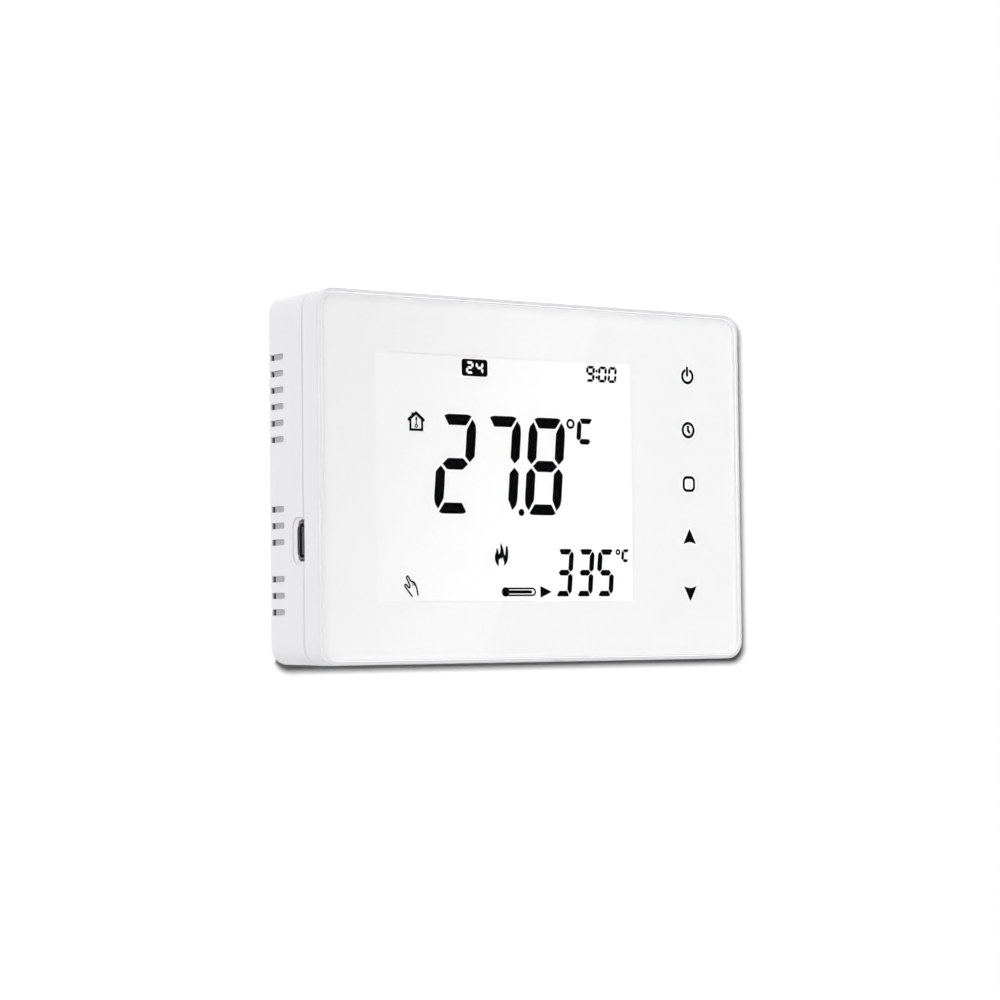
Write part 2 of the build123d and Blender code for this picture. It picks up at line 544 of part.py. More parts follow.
# ---------------------------------------------------------------- front frame
with BuildPart() as front_frame:
    with BuildSketch(layer(FRAME_REAR)):
        RectangleRounded(WIDTH, HEIGHT, CORNER_RADIUS)
    extrude(amount=RIM_DEPTH - FRAME_REAR)
    rim_face = front_frame.faces().sort_by(Axis.Y)[0]
    fillet(rim_face.edges(), RIM_EDGE_RADIUS)
    # Pocket for the glass in front, and the cavity behind
    with BuildSketch(layer(WEB_FRONT)):
        RectangleRounded(POCKET_WIDTH, POCKET_HEIGHT, POCKET_RADIUS)
    extrude(amount=DEPTH - WEB_FRONT, mode=Mode.SUBTRACT)
    with BuildSketch(layer(FRAME_REAR)):
        cut_corner_rectangle(CAVITY_WIDTH, CAVITY_HEIGHT, CAVITY_RADIUS)
    extrude(amount=WEB_REAR - FRAME_REAR, mode=Mode.SUBTRACT)
    # Tongue that enters the housing
    with BuildSketch(layer(FRAME_REAR)):
        cut_corner_rectangle(
            CAVITY_WIDTH + 2 * TONGUE_WALL, CAVITY_HEIGHT + 2 * TONGUE_WALL, CAVITY_RADIUS + TONGUE_WALL
        )
        cut_corner_rectangle(CAVITY_WIDTH, CAVITY_HEIGHT, CAVITY_RADIUS, Mode.SUBTRACT)
    extrude(amount=-TONGUE_LENGTH)
    # Two hooks that run on from the tongue at the top edge
    with BuildSketch(layer(TONGUE_REAR)):
        with Locations((0, (CAVITY_HEIGHT + TONGUE_WALL) / 2)):
            with GridLocations(TAB_SPACING, 0, 2, 1):
                Rectangle(TAB_WIDTH, TONGUE_WALL)
    extrude(amount=-TAB_LENGTH)
    with BuildSketch(layer(TAB_REAR)):
        with Locations((0, (CAVITY_HEIGHT + TAB_BARB) / 2 + TONGUE_WALL)):
            with GridLocations(TAB_SPACING, 0, 2, 1):
                Rectangle(TAB_WIDTH, TAB_BARB)
    extrude(amount=TAB_BARB_LENGTH)
    # Windows in the web for the display and the touch pads
    with BuildSketch(layer(WEB_REAR)):
        with Locations((WINDOW_X, FRONT_GLASS_Z)):
            Rectangle(FRAME_WINDOW_WIDTH, FRAME_WINDOW_HEIGHT)
        with Locations((KEY_X, KEY_Z)):
            with GridLocations(0, KEY_PITCH, 1, KEY_COUNT):
                Rectangle(TOUCH_PAD + 2 * TOUCH_PAD_CLEARANCE, TOUCH_PAD + 2 * TOUCH_PAD_CLEARANCE)
    extrude(amount=FRAME_WEB, mode=Mode.SUBTRACT)
    # Long bosses that take the housing screws, short ones that carry the board
    with BuildSketch(layer(BOSS_REAR)):
        with Locations(*SCREW_SPOTS):
            cut_corner_rectangle(2 * BOSS_RADIUS, 2 * BOSS_RADIUS, BOSS_RADIUS)
            Circle(SCREW_SHANK_RADIUS + SCREW_CLEARANCE, mode=Mode.SUBTRACT)
    extrude(amount=WEB_REAR - BOSS_REAR)
    with BuildSketch(layer(BOARD_FRONT)):
        with Locations(*BOARD_SCREW_SPOTS):
            cut_corner_rectangle(2 * BOARD_BOSS_RADIUS, 2 * BOARD_BOSS_RADIUS, BOARD_BOSS_RADIUS)
            Circle(BOARD_SCREW_RADIUS + SCREW_CLEARANCE, mode=Mode.SUBTRACT)
    extrude(amount=WEB_REAR - BOARD_FRONT)
    # Notch over the USB socket: shallow in the side wall, full in the tongue
    with BuildSketch(side_plane(-WIDTH / 2 - CUT_MARGIN)):
        with Locations(((USB_OPENING_FRONT + TONGUE_REAR) / 2, USB_Z)):
            Rectangle(USB_OPENING_FRONT - TONGUE_REAR, USB_OPENING_HEIGHT)
    extrude(amount=-(CUT_MARGIN + REVEAL + SIDE_WALL + CUT_MARGIN), mode=Mode.SUBTRACT)
save(front_frame, "front_frame")

# ---------------------------------------------------------------- touch glass and what holds it
with BuildPart() as touch_glass:
    with BuildSketch(layer(GLASS_REAR)):
        RectangleRounded(GLASS_WIDTH, GLASS_HEIGHT, GLASS_RADIUS)
    extrude(amount=GLASS_THICKNESS)
    chamfer(touch_glass.faces().sort_by(Axis.Y)[0].edges(), GLASS_BEVEL)
save(touch_glass, "touch_glass")

with BuildPart() as glass_print:
    with BuildSketch(layer(PRINT_REAR)):
        RectangleRounded(PRINT_WIDTH, PRINT_HEIGHT, PRINT_RADIUS)
        with Locations((WINDOW_X, WINDOW_Z)):
            RectangleRounded(WINDOW_WIDTH, WINDOW_HEIGHT, WINDOW_RADIUS, mode=Mode.SUBTRACT)
    extrude(amount=PRINT_THICKNESS)
save(glass_print, "glass_print")

with BuildPart() as panel_tape:
    with BuildSketch(layer(WEB_FRONT)):
        cut_corner_rectangle(
            PRINT_WIDTH - 2 * TAPE_INSET, PRINT_HEIGHT - 2 * TAPE_INSET, PRINT_RADIUS - TAPE_INSET
        )
        Rectangle(PRINT_WIDTH - 2 * TAPE_WIDTH, PRINT_HEIGHT - 2 * TAPE_WIDTH, mode=Mode.SUBTRACT)
    extrude(amount=TAPE_THICKNESS)
save(panel_tape, "panel_tape")

with BuildPart() as touch_pads:
    with BuildSketch(layer(BOARD_FRONT)):
        with Locations((KEY_X, KEY_Z)):
            with GridLocations(0, KEY_PITCH, 1, KEY_COUNT):
                Rectangle(TOUCH_PAD, TOUCH_PAD)
    extrude(amount=PRINT_REAR - BOARD_FRONT)
save(touch_pads, "touch_pads")


# ---------------------------------------------------------------- display, from the board outwards
def display_sheet(name, rear, thickness, width, height, middle_z):
    """One flat layer of the display stack."""
    with BuildPart() as sheet:
        with BuildSketch(layer(rear)):
            with Locations((WINDOW_X, middle_z)):
                Rectangle(width, height)
        extrude(amount=thickness)
    save(sheet, name)


display_sheet("reflector_film", REFLECTOR_REAR, REFLECTOR, FILM_WIDTH, FILM_HEIGHT, WINDOW_Z)
display_sheet("light_guide", GUIDE_REAR, LIGHT_GUIDE, FILM_WIDTH, FILM_HEIGHT, WINDOW_Z)
display_sheet("diffuser_film", DIFFUSER_REAR, DIFFUSER, FILM_WIDTH, FILM_HEIGHT, WINDOW_Z)
display_sheet("rear_polariser", REAR_POLARISER_REAR, POLARISER, FILM_WIDTH, FILM_HEIGHT, WINDOW_Z)
display_sheet("lcd_rear_glass", REAR_GLASS_REAR, LCD_GLASS, LCD_WIDTH, LCD_HEIGHT, WINDOW_Z)
display_sheet("lcd_front_glass", FRONT_GLASS_REAR, LCD_GLASS, LCD_WIDTH, FRONT_GLASS_HEIGHT, FRONT_GLASS_Z)
display_sheet("front_polariser", FRONT_POLARISER_REAR, POLARISER, FILM_WIDTH, FILM_HEIGHT, WINDOW_Z)

with BuildPart() as lcd_holder:
    with BuildSketch(layer(BOARD_FRONT)):
        with Locations((WINDOW_X, FRONT_GLASS_Z)):
            Rectangle(HOLDER_WIDTH, HOLDER_HEIGHT)
    extrude(amount=HOLDER_FRONT - BOARD_FRONT)
    # Upper pocket for the two glasses, lower one for the light guide and its films
    with BuildSketch(layer(REAR_GLASS_REAR)):
        with Locations((WINDOW_X, FRONT_GLASS_Z)):
            Rectangle(LCD_POCKET_WIDTH, LCD_POCKET_HEIGHT)
    extrude(amount=HOLDER_FRONT - REAR_GLASS_REAR, mode=Mode.SUBTRACT)
    with BuildSketch(layer(BOARD_FRONT)):
        with Locations((WINDOW_X, WINDOW_Z)):
            Rectangle(FILM_WIDTH + 2 * LCD_CLEARANCE, FILM_HEIGHT + 2 * LCD_CLEARANCE)
        with Locations((WINDOW_X, ZEBRA_Z)):
            Rectangle(ZEBRA_LENGTH + 2 * LCD_CLEARANCE, ZEBRA_WIDTH + 2 * FIT_GAP)
    extrude(amount=REAR_GLASS_REAR - BOARD_FRONT, mode=Mode.SUBTRACT)
    # Notches for the backlight LEDs, feet through the board
    with BuildSketch(layer(BOARD_FRONT)):
        with Locations((LED_X, WINDOW_Z)):
            with GridLocations(0, LED_PITCH, 1, LED_COUNT):
                Rectangle(LED_DEPTH + 2 * LED_GAP, LED_WIDTH + 2 * LED_GAP)
    extrude(amount=LED_HEIGHT + LED_GAP, mode=Mode.SUBTRACT)
    with BuildSketch(layer(BOARD_FRONT)):
        with Locations((WINDOW_X, FRONT_GLASS_Z)):
            with GridLocations(2 * FOOT_X, 2 * FOOT_Z, 2, 2):
                Rectangle(FOOT_WIDTH, FOOT_HEIGHT)
    extrude(amount=-FOOT_LENGTH)
save(lcd_holder, "lcd_holder")

with BuildPart() as backlight_leds:
    with BuildSketch(layer(BOARD_FRONT)):
        with Locations((LED_X, WINDOW_Z)):
            with GridLocations(0, LED_PITCH, 1, LED_COUNT):
                Rectangle(LED_DEPTH, LED_WIDTH)
    extrude(amount=LED_HEIGHT)
save(backlight_leds, "backlight_leds")

with BuildPart() as zebra_strip:
    with BuildSketch(layer(BOARD_FRONT)):
        with Locations((WINDOW_X, ZEBRA_Z)):
            Rectangle(ZEBRA_LENGTH, ZEBRA_WIDTH)
    extrude(amount=FRONT_GLASS_REAR - BOARD_FRONT)
save(zebra_strip, "zebra_strip")

# ---------------------------------------------------------------- main board and its screws
with BuildPart() as main_board:
    with BuildSketch(layer(BOARD_DEPTH)):
        Rectangle(BOARD_WIDTH, BOARD_HEIGHT)
        with Locations(*SCREW_SPOTS):
            notch = 2 * (BOSS_RADIUS + BOARD_NOTCH_CLEARANCE)
            Rectangle(notch, notch, mode=Mode.SUBTRACT)
        with Locations((WINDOW_X, FRONT_GLASS_Z)):
            with GridLocations(2 * FOOT_X, 2 * FOOT_Z, 2, 2):
                Rectangle(
                    FOOT_WIDTH + 2 * BOARD_HOLE_CLEARANCE,
                    FOOT_HEIGHT + 2 * BOARD_HOLE_CLEARANCE,
                    mode=Mode.SUBTRACT,
                )
        with Locations(*BOARD_SCREW_SPOTS):
            Circle(BOARD_SCREW_RADIUS + BOARD_HOLE_CLEARANCE, mode=Mode.SUBTRACT)
        with Locations((USB_TAB_X, USB_Z)):
            with GridLocations(*USB_TAB_SPACING, 2, 2):
                Rectangle(USB_TAB[0] + 2 * FIT_GAP, USB_TAB[1] + 2 * FIT_GAP, mode=Mode.SUBTRACT)
    extrude(amount=BOARD_THICKNESS)
save(main_board, "main_board")


def screw_group(name, spots, seat, shank_radius, length, head_radius, head):
    """Screws driven from the back: flat heads with a cross recess, plain shanks."""
    with BuildPart() as screws:
        with BuildSketch(layer(seat)):
            with Locations(*spots):
                Circle(shank_radius)
        extrude(amount=length)
        with BuildSketch(layer(seat)):
            with Locations(*spots):
                Circle(head_radius)
        extrude(amount=-head)
        with BuildSketch(layer(seat - head)):
            with Locations(*spots):
                Rectangle(head_radius, CROSS_WIDTH)
                Rectangle(CROSS_WIDTH, head_radius)
        extrude(amount=head * CROSS_RECESS, mode=Mode.SUBTRACT)
    save(screws, name)


screw_group(
    "housing_screws",
    SCREW_SPOTS,
    SCREW_SEAT_DEPTH,
    SCREW_SHANK_RADIUS,
    SCREW_LENGTH,
    SCREW_HEAD_RADIUS,
    SCREW_HEAD,
)
screw_group(
    "board_screws",
    BOARD_SCREW_SPOTS,
    BOARD_DEPTH,
    BOARD_SCREW_RADIUS,
    BOARD_SCREW_LENGTH,
    BOARD_SCREW_HEAD_RADIUS,
    BOARD_SCREW_HEAD,
)

# ---------------------------------------------------------------- USB socket
with BuildPart() as usb_shell:
    shell_radius = USB_SHELL_THICKNESS / 2 - FIT_GAP
    with BuildSketch(side_plane(USB_MOUTH_X)):
        with Locations((USB_CENTRE, USB_Z)):
            RectangleRounded(USB_SHELL_THICKNESS, USB_SHELL_WIDTH, shell_radius)
            RectangleRounded(
                USB_SHELL_THICKNESS - 2 * USB_SHELL_WALL,
                USB_SHELL_WIDTH - 2 * USB_SHELL_WALL,
                shell_radius - USB_SHELL_WALL,
                mode=Mode.SUBTRACT,
            )
    extrude(amount=-USB_SHELL_LENGTH)
    with BuildSketch(layer(BOARD_DEPTH)):
        with Locations((USB_TAB_X, USB_Z)):
            with GridLocations(*USB_TAB_SPACING, 2, 2):
                Rectangle(*USB_TAB)
    extrude(amount=BOARD_THICKNESS)
    with BuildSketch(layer(USB_CENTRE)):
        with Locations((USB_TAB_X, USB_Z)):
            with GridLocations(USB_TAB_SPACING[0], USB_SHELL_WIDTH - USB_SHELL_WALL, 2, 2):
                Rectangle(USB_TAB[0], USB_SHELL_WALL)
    extrude(amount=BOARD_DEPTH - USB_CENTRE)
save(usb_shell, "usb_shell")

with BuildPart() as usb_tongue:
    inner_radius = USB_SHELL_THICKNESS / 2 - FIT_GAP - USB_SHELL_WALL
    with BuildSketch(side_plane(USB_MOUTH_X + USB_SHELL_LENGTH)):
        with Locations((USB_CENTRE, USB_Z)):
            RectangleRounded(
                USB_SHELL_THICKNESS - 2 * USB_SHELL_WALL,
                USB_SHELL_WIDTH - 2 * USB_SHELL_WALL,
                inner_radius,
            )
    extrude(amount=USB_TONGUE_BASE)
    with BuildSketch(side_plane(USB_MOUTH_X + USB_TONGUE_SETBACK)):
        with Locations((USB_CENTRE, USB_Z)):
            Rectangle(USB_TONGUE_THICKNESS, USB_TONGUE_WIDTH)
    extrude(amount=-(USB_SHELL_LENGTH - USB_TONGUE_SETBACK))
save(usb_tongue, "usb_tongue")


# ---------------------------------------------------------------- parts on the rear of the board
def gull_wing_pin():
    """Outline of one pin from the body's side (at 0) out to its foot on the board."""
    knee = PIN_REACH - PIN_FOOT
    rise = CONTROLLER_STANDOFF + CONTROLLER_SIZE[2] / 2
    Polyline(
        (0, rise),
        (knee, rise),
        (knee, PIN_THICKNESS),
        (PIN_REACH, PIN_THICKNESS),
        (PIN_REACH, 0),
        (knee - PIN_THICKNESS, 0),
        (knee - PIN_THICKNESS, rise - PIN_THICKNESS),
        (0, rise - PIN_THICKNESS),
        close=True,
    )


with BuildPart() as microcontroller:
    body_length, body_width, body_height = CONTROLLER_SIZE
    with BuildSketch(layer(BOARD_DEPTH - CONTROLLER_STANDOFF)):
        with Locations(CONTROLLER_SPOT):
            Rectangle(body_length, body_width)
    extrude(amount=-body_height)
    for row in (-1, 1):
        for pin in range(CONTROLLER_PINS):
            pin_x = CONTROLLER_SPOT[0] + (pin - (CONTROLLER_PINS - 1) / 2) * PIN_PITCH
            foot = Plane(
                origin=(pin_x, -BOARD_DEPTH, CONTROLLER_SPOT[1] + row * body_width / 2),
                x_dir=(0, 0, row),
                z_dir=(-row, 0, 0),
            )
            with BuildSketch(foot):
                with BuildLine():
                    gull_wing_pin()
                make_face()
            extrude(amount=PIN_WIDTH / 2, both=True)
save(microcontroller, "microcontroller")

with BuildPart() as radio_board:
    with BuildSketch(layer(BOARD_DEPTH)):
        with Locations(RADIO_SPOT):
            Rectangle(RADIO_SIZE[0], RADIO_SIZE[1])
    extrude(amount=-RADIO_SIZE[2])
save(radio_board, "radio_board")

with BuildPart() as radio_shield:
    shield_seat = BOARD_DEPTH - RADIO_SIZE[2]
    with BuildSketch(layer(shield_seat)):
        with Locations(RADIO_SPOT):
            Rectangle(SHIELD_SIZE[0], SHIELD_SIZE[1])
    extrude(amount=-SHIELD_SIZE[2])
    with BuildSketch(layer(shield_seat)):
        with Locations(RADIO_SPOT):
            Rectangle(SHIELD_SIZE[0] - 2 * SHIELD_WALL, SHIELD_SIZE[1] - 2 * SHIELD_WALL)
    extrude(amount=-(SHIELD_SIZE[2] - SHIELD_WALL), mode=Mode.SUBTRACT)
save(radio_shield, "radio_shield")

with BuildPart() as antenna:
    foot_x = RADIO_SPOT[0] + ANTENNA_SHIFT[0]
    foot_z = RADIO_SPOT[1] + ANTENNA_SHIFT[1]
    foot_depth = BOARD_DEPTH - RADIO_SIZE[2]
    strip_z = BOARD_HEIGHT / 2 - ANTENNA_DROP
    with BuildLine():
        Polyline(
            (foot_x, -foot_depth, foot_z),
            (foot_x, -foot_depth + ANTENNA_RISE, foot_z),
            (foot_x, -foot_depth + ANTENNA_RISE, strip_z),
            (foot_x - ANTENNA_RUN, -foot_depth + ANTENNA_RISE, strip_z),
        )
    with BuildSketch(layer(foot_depth)):
        with Locations((foot_x, foot_z)):
            Rectangle(ANTENNA_STRIP, ANTENNA_STRIP)
    sweep(transition=Transition.RIGHT)
save(antenna, "antenna")

with BuildPart() as buzzer:
    with BuildSketch(layer(BOARD_DEPTH)):
        with Locations(BUZZER_SPOT):
            Circle(BUZZER_RADIUS)
    extrude(amount=-BUZZER_HEIGHT)
    with BuildSketch(layer(BOARD_DEPTH - BUZZER_HEIGHT)):
        with Locations(BUZZER_SPOT):
            Circle(BUZZER_HOLE_RADIUS)
    extrude(amount=BUZZER_HOLE_DEPTH, mode=Mode.SUBTRACT)
save(buzzer, "buzzer")

with BuildPart() as clock_crystal:
    with BuildSketch(layer(BOARD_DEPTH)):
        with Locations(CRYSTAL_SPOT):
            SlotOverall(CRYSTAL_SIZE[0], CRYSTAL_SIZE[1])
    extrude(amount=-CRYSTAL_SIZE[2])
save(clock_crystal, "clock_crystal")

with BuildPart() as coin_cell_holder:
    holder_side = 2 * (CELL_RADIUS + CELL_PLAY + CELL_HOLDER_WALL)
    with BuildSketch(layer(BOARD_DEPTH)):
        with Locations(CELL_SPOT):
            cut_corner_rectangle(holder_side, holder_side, holder_side / 2)
    extrude(amount=-(CELL_HOLDER_FLOOR + CELL_HOLDER_RIM))
    with BuildSketch(layer(BOARD_DEPTH - CELL_HOLDER_FLOOR)):
        with Locations(CELL_SPOT):
            Circle(CELL_RADIUS + CELL_PLAY)
            with Locations((0, -holder_side / 2)):
                Rectangle(CELL_GATE_WIDTH, holder_side / 2)
            Rectangle(holder_side, CLIP_WIDTH + 2 * FIT_GAP)
    extrude(amount=-CELL_HOLDER_RIM, mode=Mode.SUBTRACT)
save(coin_cell_holder, "coin_cell_holder")

with BuildPart() as coin_cell:
    with BuildSketch(layer(CELL_SEAT)):
        with Locations(CELL_SPOT):
            Circle(CELL_RADIUS)
    extrude(amount=-CELL_THICKNESS)
save(coin_cell, "coin_cell")

with BuildPart() as cell_clip:
    cell_top = CELL_SEAT - CELL_THICKNESS
    clip_reach = CELL_RADIUS + CELL_PLAY + FIT_GAP
    clip_plane = Plane(origin=(CELL_SPOT[0], 0, CELL_SPOT[1]), x_dir=(1, 0, 0), z_dir=(0, 0, -1))
    with BuildSketch(clip_plane):
        with BuildLine():
            Polyline(
                (-clip_reach - CLIP_THICKNESS, CELL_SEAT),
                (-clip_reach - CLIP_THICKNESS, cell_top - CLIP_THICKNESS),
                (clip_reach + CLIP_THICKNESS, cell_top - CLIP_THICKNESS),
                (clip_reach + CLIP_THICKNESS, CELL_SEAT),
                (clip_reach, CELL_SEAT),
                (clip_reach, cell_top),
                (-clip_reach, cell_top),
                (-clip_reach, CELL_SEAT),
                close=True,
            )
        make_face()
    extrude(amount=CLIP_WIDTH / 2, both=True)
save(cell_clip, "cell_clip")

with BuildPart() as capacitors:
    with BuildSketch(layer(BOARD_DEPTH)):
        with Locations((CAPACITOR_X, 0)):
            with GridLocations(0, CAPACITOR_PITCH, 1, 2):
                Rectangle(CAPACITOR_BASE, CAPACITOR_BASE)
    extrude(amount=-CAPACITOR_BASE_HEIGHT)
    with BuildSketch(layer(BOARD_DEPTH - CAPACITOR_BASE_HEIGHT)):
        with Locations((CAPACITOR_X, 0)):
            with GridLocations(0, CAPACITOR_PITCH, 1, 2):
                Circle(CAPACITOR_RADIUS)
    extrude(amount=-(CAPACITOR_HEIGHT - CAPACITOR_BASE_HEIGHT))
save(capacitors, "capacitors")

with BuildPart() as voltage_regulator:
    regulator_width, regulator_length, regulator_height = REGULATOR_SIZE
    leg_x = (regulator_width + REGULATOR_LEG_LENGTH) / 2
    with BuildSketch(layer(BOARD_DEPTH)):
        with Locations(REGULATOR_SPOT):
            Rectangle(regulator_width, regulator_length)
    extrude(amount=-regulator_height)
    with BuildSketch(layer(BOARD_DEPTH)):
        with Locations(REGULATOR_SPOT):
            with Locations((-leg_x, 0)):
                Rectangle(REGULATOR_LEG_LENGTH, REGULATOR_TAB_WIDTH)
            with Locations((leg_x, 0)):
                with GridLocations(0, REGULATOR_LEG_PITCH, 1, 3):
                    Rectangle(REGULATOR_LEG_LENGTH, REGULATOR_LEG_WIDTH)
    extrude(amount=-PIN_THICKNESS)
save(voltage_regulator, "voltage_regulator")

with BuildPart() as temperature_sensor:
    with BuildSketch(layer(BOARD_DEPTH)):
        with Locations(SENSOR_SPOT):
            with GridLocations(SENSOR_LEG_PITCH, 0, 3, 1):
                Rectangle(SENSOR_LEG_SIZE, SENSOR_LEG_SIZE)
    extrude(amount=-SENSOR_LEG_LENGTH)
    with BuildSketch(layer(BOARD_DEPTH - SENSOR_LEG_LENGTH)):
        with Locations(SENSOR_SPOT):
            body = Rectangle(SENSOR_BODY[0], SENSOR_BODY[1])
        chamfer(body.vertices().group_by(Axis.Y)[-1], SENSOR_CORNER)
    extrude(amount=-SENSOR_BODY[2])
save(temperature_sensor, "temperature_sensor")

with BuildPart() as chip_resistors:
    with BuildSketch(layer(BOARD_DEPTH)):
        with Locations(CONTROLLER_SPOT):
            with GridLocations(*CHIP_PITCH, CHIP_COLUMNS, 2):
                Rectangle(CHIP_SIZE[0], CHIP_SIZE[1])
    extrude(amount=-CHIP_SIZE[2])
save(chip_resistors, "chip_resistors")
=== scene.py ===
"""Wall thermostat: the finishes of its parts, the symbols on its display and keys, and a plain studio wall.

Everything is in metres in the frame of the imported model: +X to the right seen from the room, +Y into the
wall, +Z up. The wall is the plane y = 0, and the display faces -Y.
"""
import math

import bpy
import numpy as np
from mathutils import Matrix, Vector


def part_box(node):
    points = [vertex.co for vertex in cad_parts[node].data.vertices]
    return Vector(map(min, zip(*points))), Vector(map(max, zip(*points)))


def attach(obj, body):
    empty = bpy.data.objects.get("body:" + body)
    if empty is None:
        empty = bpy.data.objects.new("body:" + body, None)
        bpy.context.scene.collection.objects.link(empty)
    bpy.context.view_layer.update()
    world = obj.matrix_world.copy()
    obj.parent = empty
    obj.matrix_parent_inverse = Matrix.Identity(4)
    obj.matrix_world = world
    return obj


bl_info = {
    "name": "Wall Thermostat",
    "version": (1, 0, 0),
    "blender": (4, 5, 0),
    "location": "3D View > Sidebar > Thermostat",
    "description": "Finishes, display symbols and studio of a wall thermostat",
    "category": "Object",
}

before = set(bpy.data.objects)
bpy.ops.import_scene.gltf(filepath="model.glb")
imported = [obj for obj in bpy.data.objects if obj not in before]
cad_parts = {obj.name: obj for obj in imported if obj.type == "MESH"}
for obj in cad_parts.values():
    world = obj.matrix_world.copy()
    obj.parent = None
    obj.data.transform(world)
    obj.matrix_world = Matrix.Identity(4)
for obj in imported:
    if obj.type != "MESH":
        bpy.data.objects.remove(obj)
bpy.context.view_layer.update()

MM = 0.001
BODY = "thermostat"
POLARISER_BORDER = 1.3 * MM     # how far the polariser runs past the window on each side
GLASS_RADIUS = 4.2 * MM         # corners of the touch glass
CASE_RADIUS = 4.6 * MM          # corners of the casing
FULL_TURN = 2 * math.pi

WINDOW_LOW, WINDOW_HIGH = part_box("front_polariser")
WINDOW_X = WINDOW_LOW[0] + POLARISER_BORDER
WINDOW_Z = WINDOW_LOW[2] + POLARISER_BORDER
WINDOW_WIDTH = WINDOW_HIGH[0] - POLARISER_BORDER - WINDOW_X
INK = 0.02 * MM                 # thickness of a layer of ink
LAYER = 0.03 * MM               # from one printed layer to the next
PRINT_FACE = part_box("glass_print")[0][1]
DISPLAY_FACE = WINDOW_LOW[1] - 2 * LAYER        # front of the digits
RIM_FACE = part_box("front_frame")[0][1]
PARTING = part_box("rear_housing")[0][1] - 0.15 * MM
KEYS_LOW, KEYS_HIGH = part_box("touch_pads")
KEY_COUNT = 5
TOUCH_PAD = KEYS_HIGH[0] - KEYS_LOW[0]
KEY_X = (KEYS_LOW[0] + KEYS_HIGH[0]) / 2
KEY_PITCH = (KEYS_HIGH[2] - KEYS_LOW[2] - TOUCH_PAD) / (KEY_COUNT - 1)
KEY_TOP = KEYS_HIGH[2] - TOUCH_PAD / 2


# Outlines and paths, as arrays of (x, z) points
# ----------------------------------------------

LEAST_REACH = 0.35              # keeps an offset from running far out at a sharp corner
END_POINTS = 7                  # on each half of a line's round end
END_SHARE = 0.98                # of a quarter turn, where the last of them lies, just short of the tip


def mm(*values):
    """Numbers or points given in millimetres, as an array in metres."""
    return np.array(values) * MM


def window_point(x, z):
    """A point x and z millimetres from the lower left corner of the display window."""
    return mm(x, z) + (WINDOW_X, WINDOW_Z)


def arc(centre, radius, start=0.0, end=FULL_TURN, count=48):
    """Points centre + radius * (cos a, sin a), with the angle a running evenly from start to end."""
    closed = abs(end - start) >= FULL_TURN
    angle = np.linspace(start, end, count, endpoint=not closed)
    return np.asarray(centre) + radius * np.column_stack([np.cos(angle), np.sin(angle)])


def round_box(centre, size, radius, steps=8):
    """A rectangle whose corners are quarter circles: four arcs about the corners of a smaller rectangle."""
    inner = np.asarray(size) / 2 - radius
    signs = np.array([(1, 1), (-1, 1), (-1, -1), (1, -1)])
    corners = np.asarray(centre) + signs * inner
    starts = np.arange(4) * math.pi / 2
    return np.concatenate([arc(c, radius, a, a + math.pi / 2, steps) for c, a in zip(corners, starts)])


def smooth(points, steps, closed=False):
    """A Catmull-Rom curve through the points: on each span the cubic whose slope at a point is half the step
    between that point's neighbours."""
    p = np.asarray(points, float)
    if closed:
        spans = np.stack([np.roll(p, 1, 0), p, np.roll(p, -1, 0), np.roll(p, -2, 0)], 1)
    else:
        padded = np.concatenate([[2 * p[0] - p[1]], p, [2 * p[-1] - p[-2]]])
        spans = np.stack([padded[:-3], padded[1:-2], padded[2:-1], padded[3:]], 1)
    t = np.linspace(0, 1, steps, endpoint=False)
    powers = np.stack([np.ones_like(t), t, t**2, t**3], 1)
    cubic = 0.5 * np.array([(0, 2, 0, 0), (-1, 0, 1, 0), (2, -5, 4, -1), (-1, 3, -3, 1)])
    curve = np.einsum("tk,kn,snd->std", powers, cubic, spans).reshape(-1, 2)
    return curve if closed else np.concatenate([curve, p[-1:]])


def normals(path, closed):
    """Left-hand unit normals of a path, lengthened at each corner so that an offset keeps its distance."""
    step = np.roll(path, -1, 0) - path
    before = np.roll(step, 1, 0)
    if not closed:
        step[-1] = step[-2]
        before[0] = step[0]
    step /= np.linalg.norm(step, axis=1, keepdims=True)
    before /= np.linalg.norm(before, axis=1, keepdims=True)
    mean = np.column_stack([-(step + before)[:, 1], (step + before)[:, 0]])
    mean /= np.linalg.norm(mean, axis=1, keepdims=True)
    reach = np.einsum("nd,nd->n", mean, np.column_stack([-step[:, 1], step[:, 0]]))
    return mean / np.maximum(reach, LEAST_REACH)[:, None]


def grown(outline, distance):
    """A closed outline with every side moved outwards by the distance."""
    x, z = outline[:, 0], outline[:, 1]
    area = np.sum(x * np.roll(z, -1) - np.roll(x, -1) * z)
    return outline - math.copysign(distance, area) * normals(outline, True)


# Solids, as (points, faces)
# --------------------------


def plate(outline, face=DISPLAY_FACE):
    """A flat plate of ink: the closed outline set at the face's depth and again behind it, with a cap on each
    and a band of quads between them."""
    x, z = outline[:, 0], outline[:, 1]
    if np.sum(x * np.roll(z, -1) - np.roll(x, -1) * z) < 0:
        x, z = x[::-1], z[::-1]
    count = len(x)
    front = np.column_stack([x, np.full(count, face), z])
    points = np.concatenate([front, front + (0, INK, 0)])
    i = np.arange(count)
    j = np.roll(i, -1)
    band = np.column_stack([i, i + count, j + count, j])
    return points, [i.tolist(), (i[::-1] + count).tolist(), *band.tolist()]


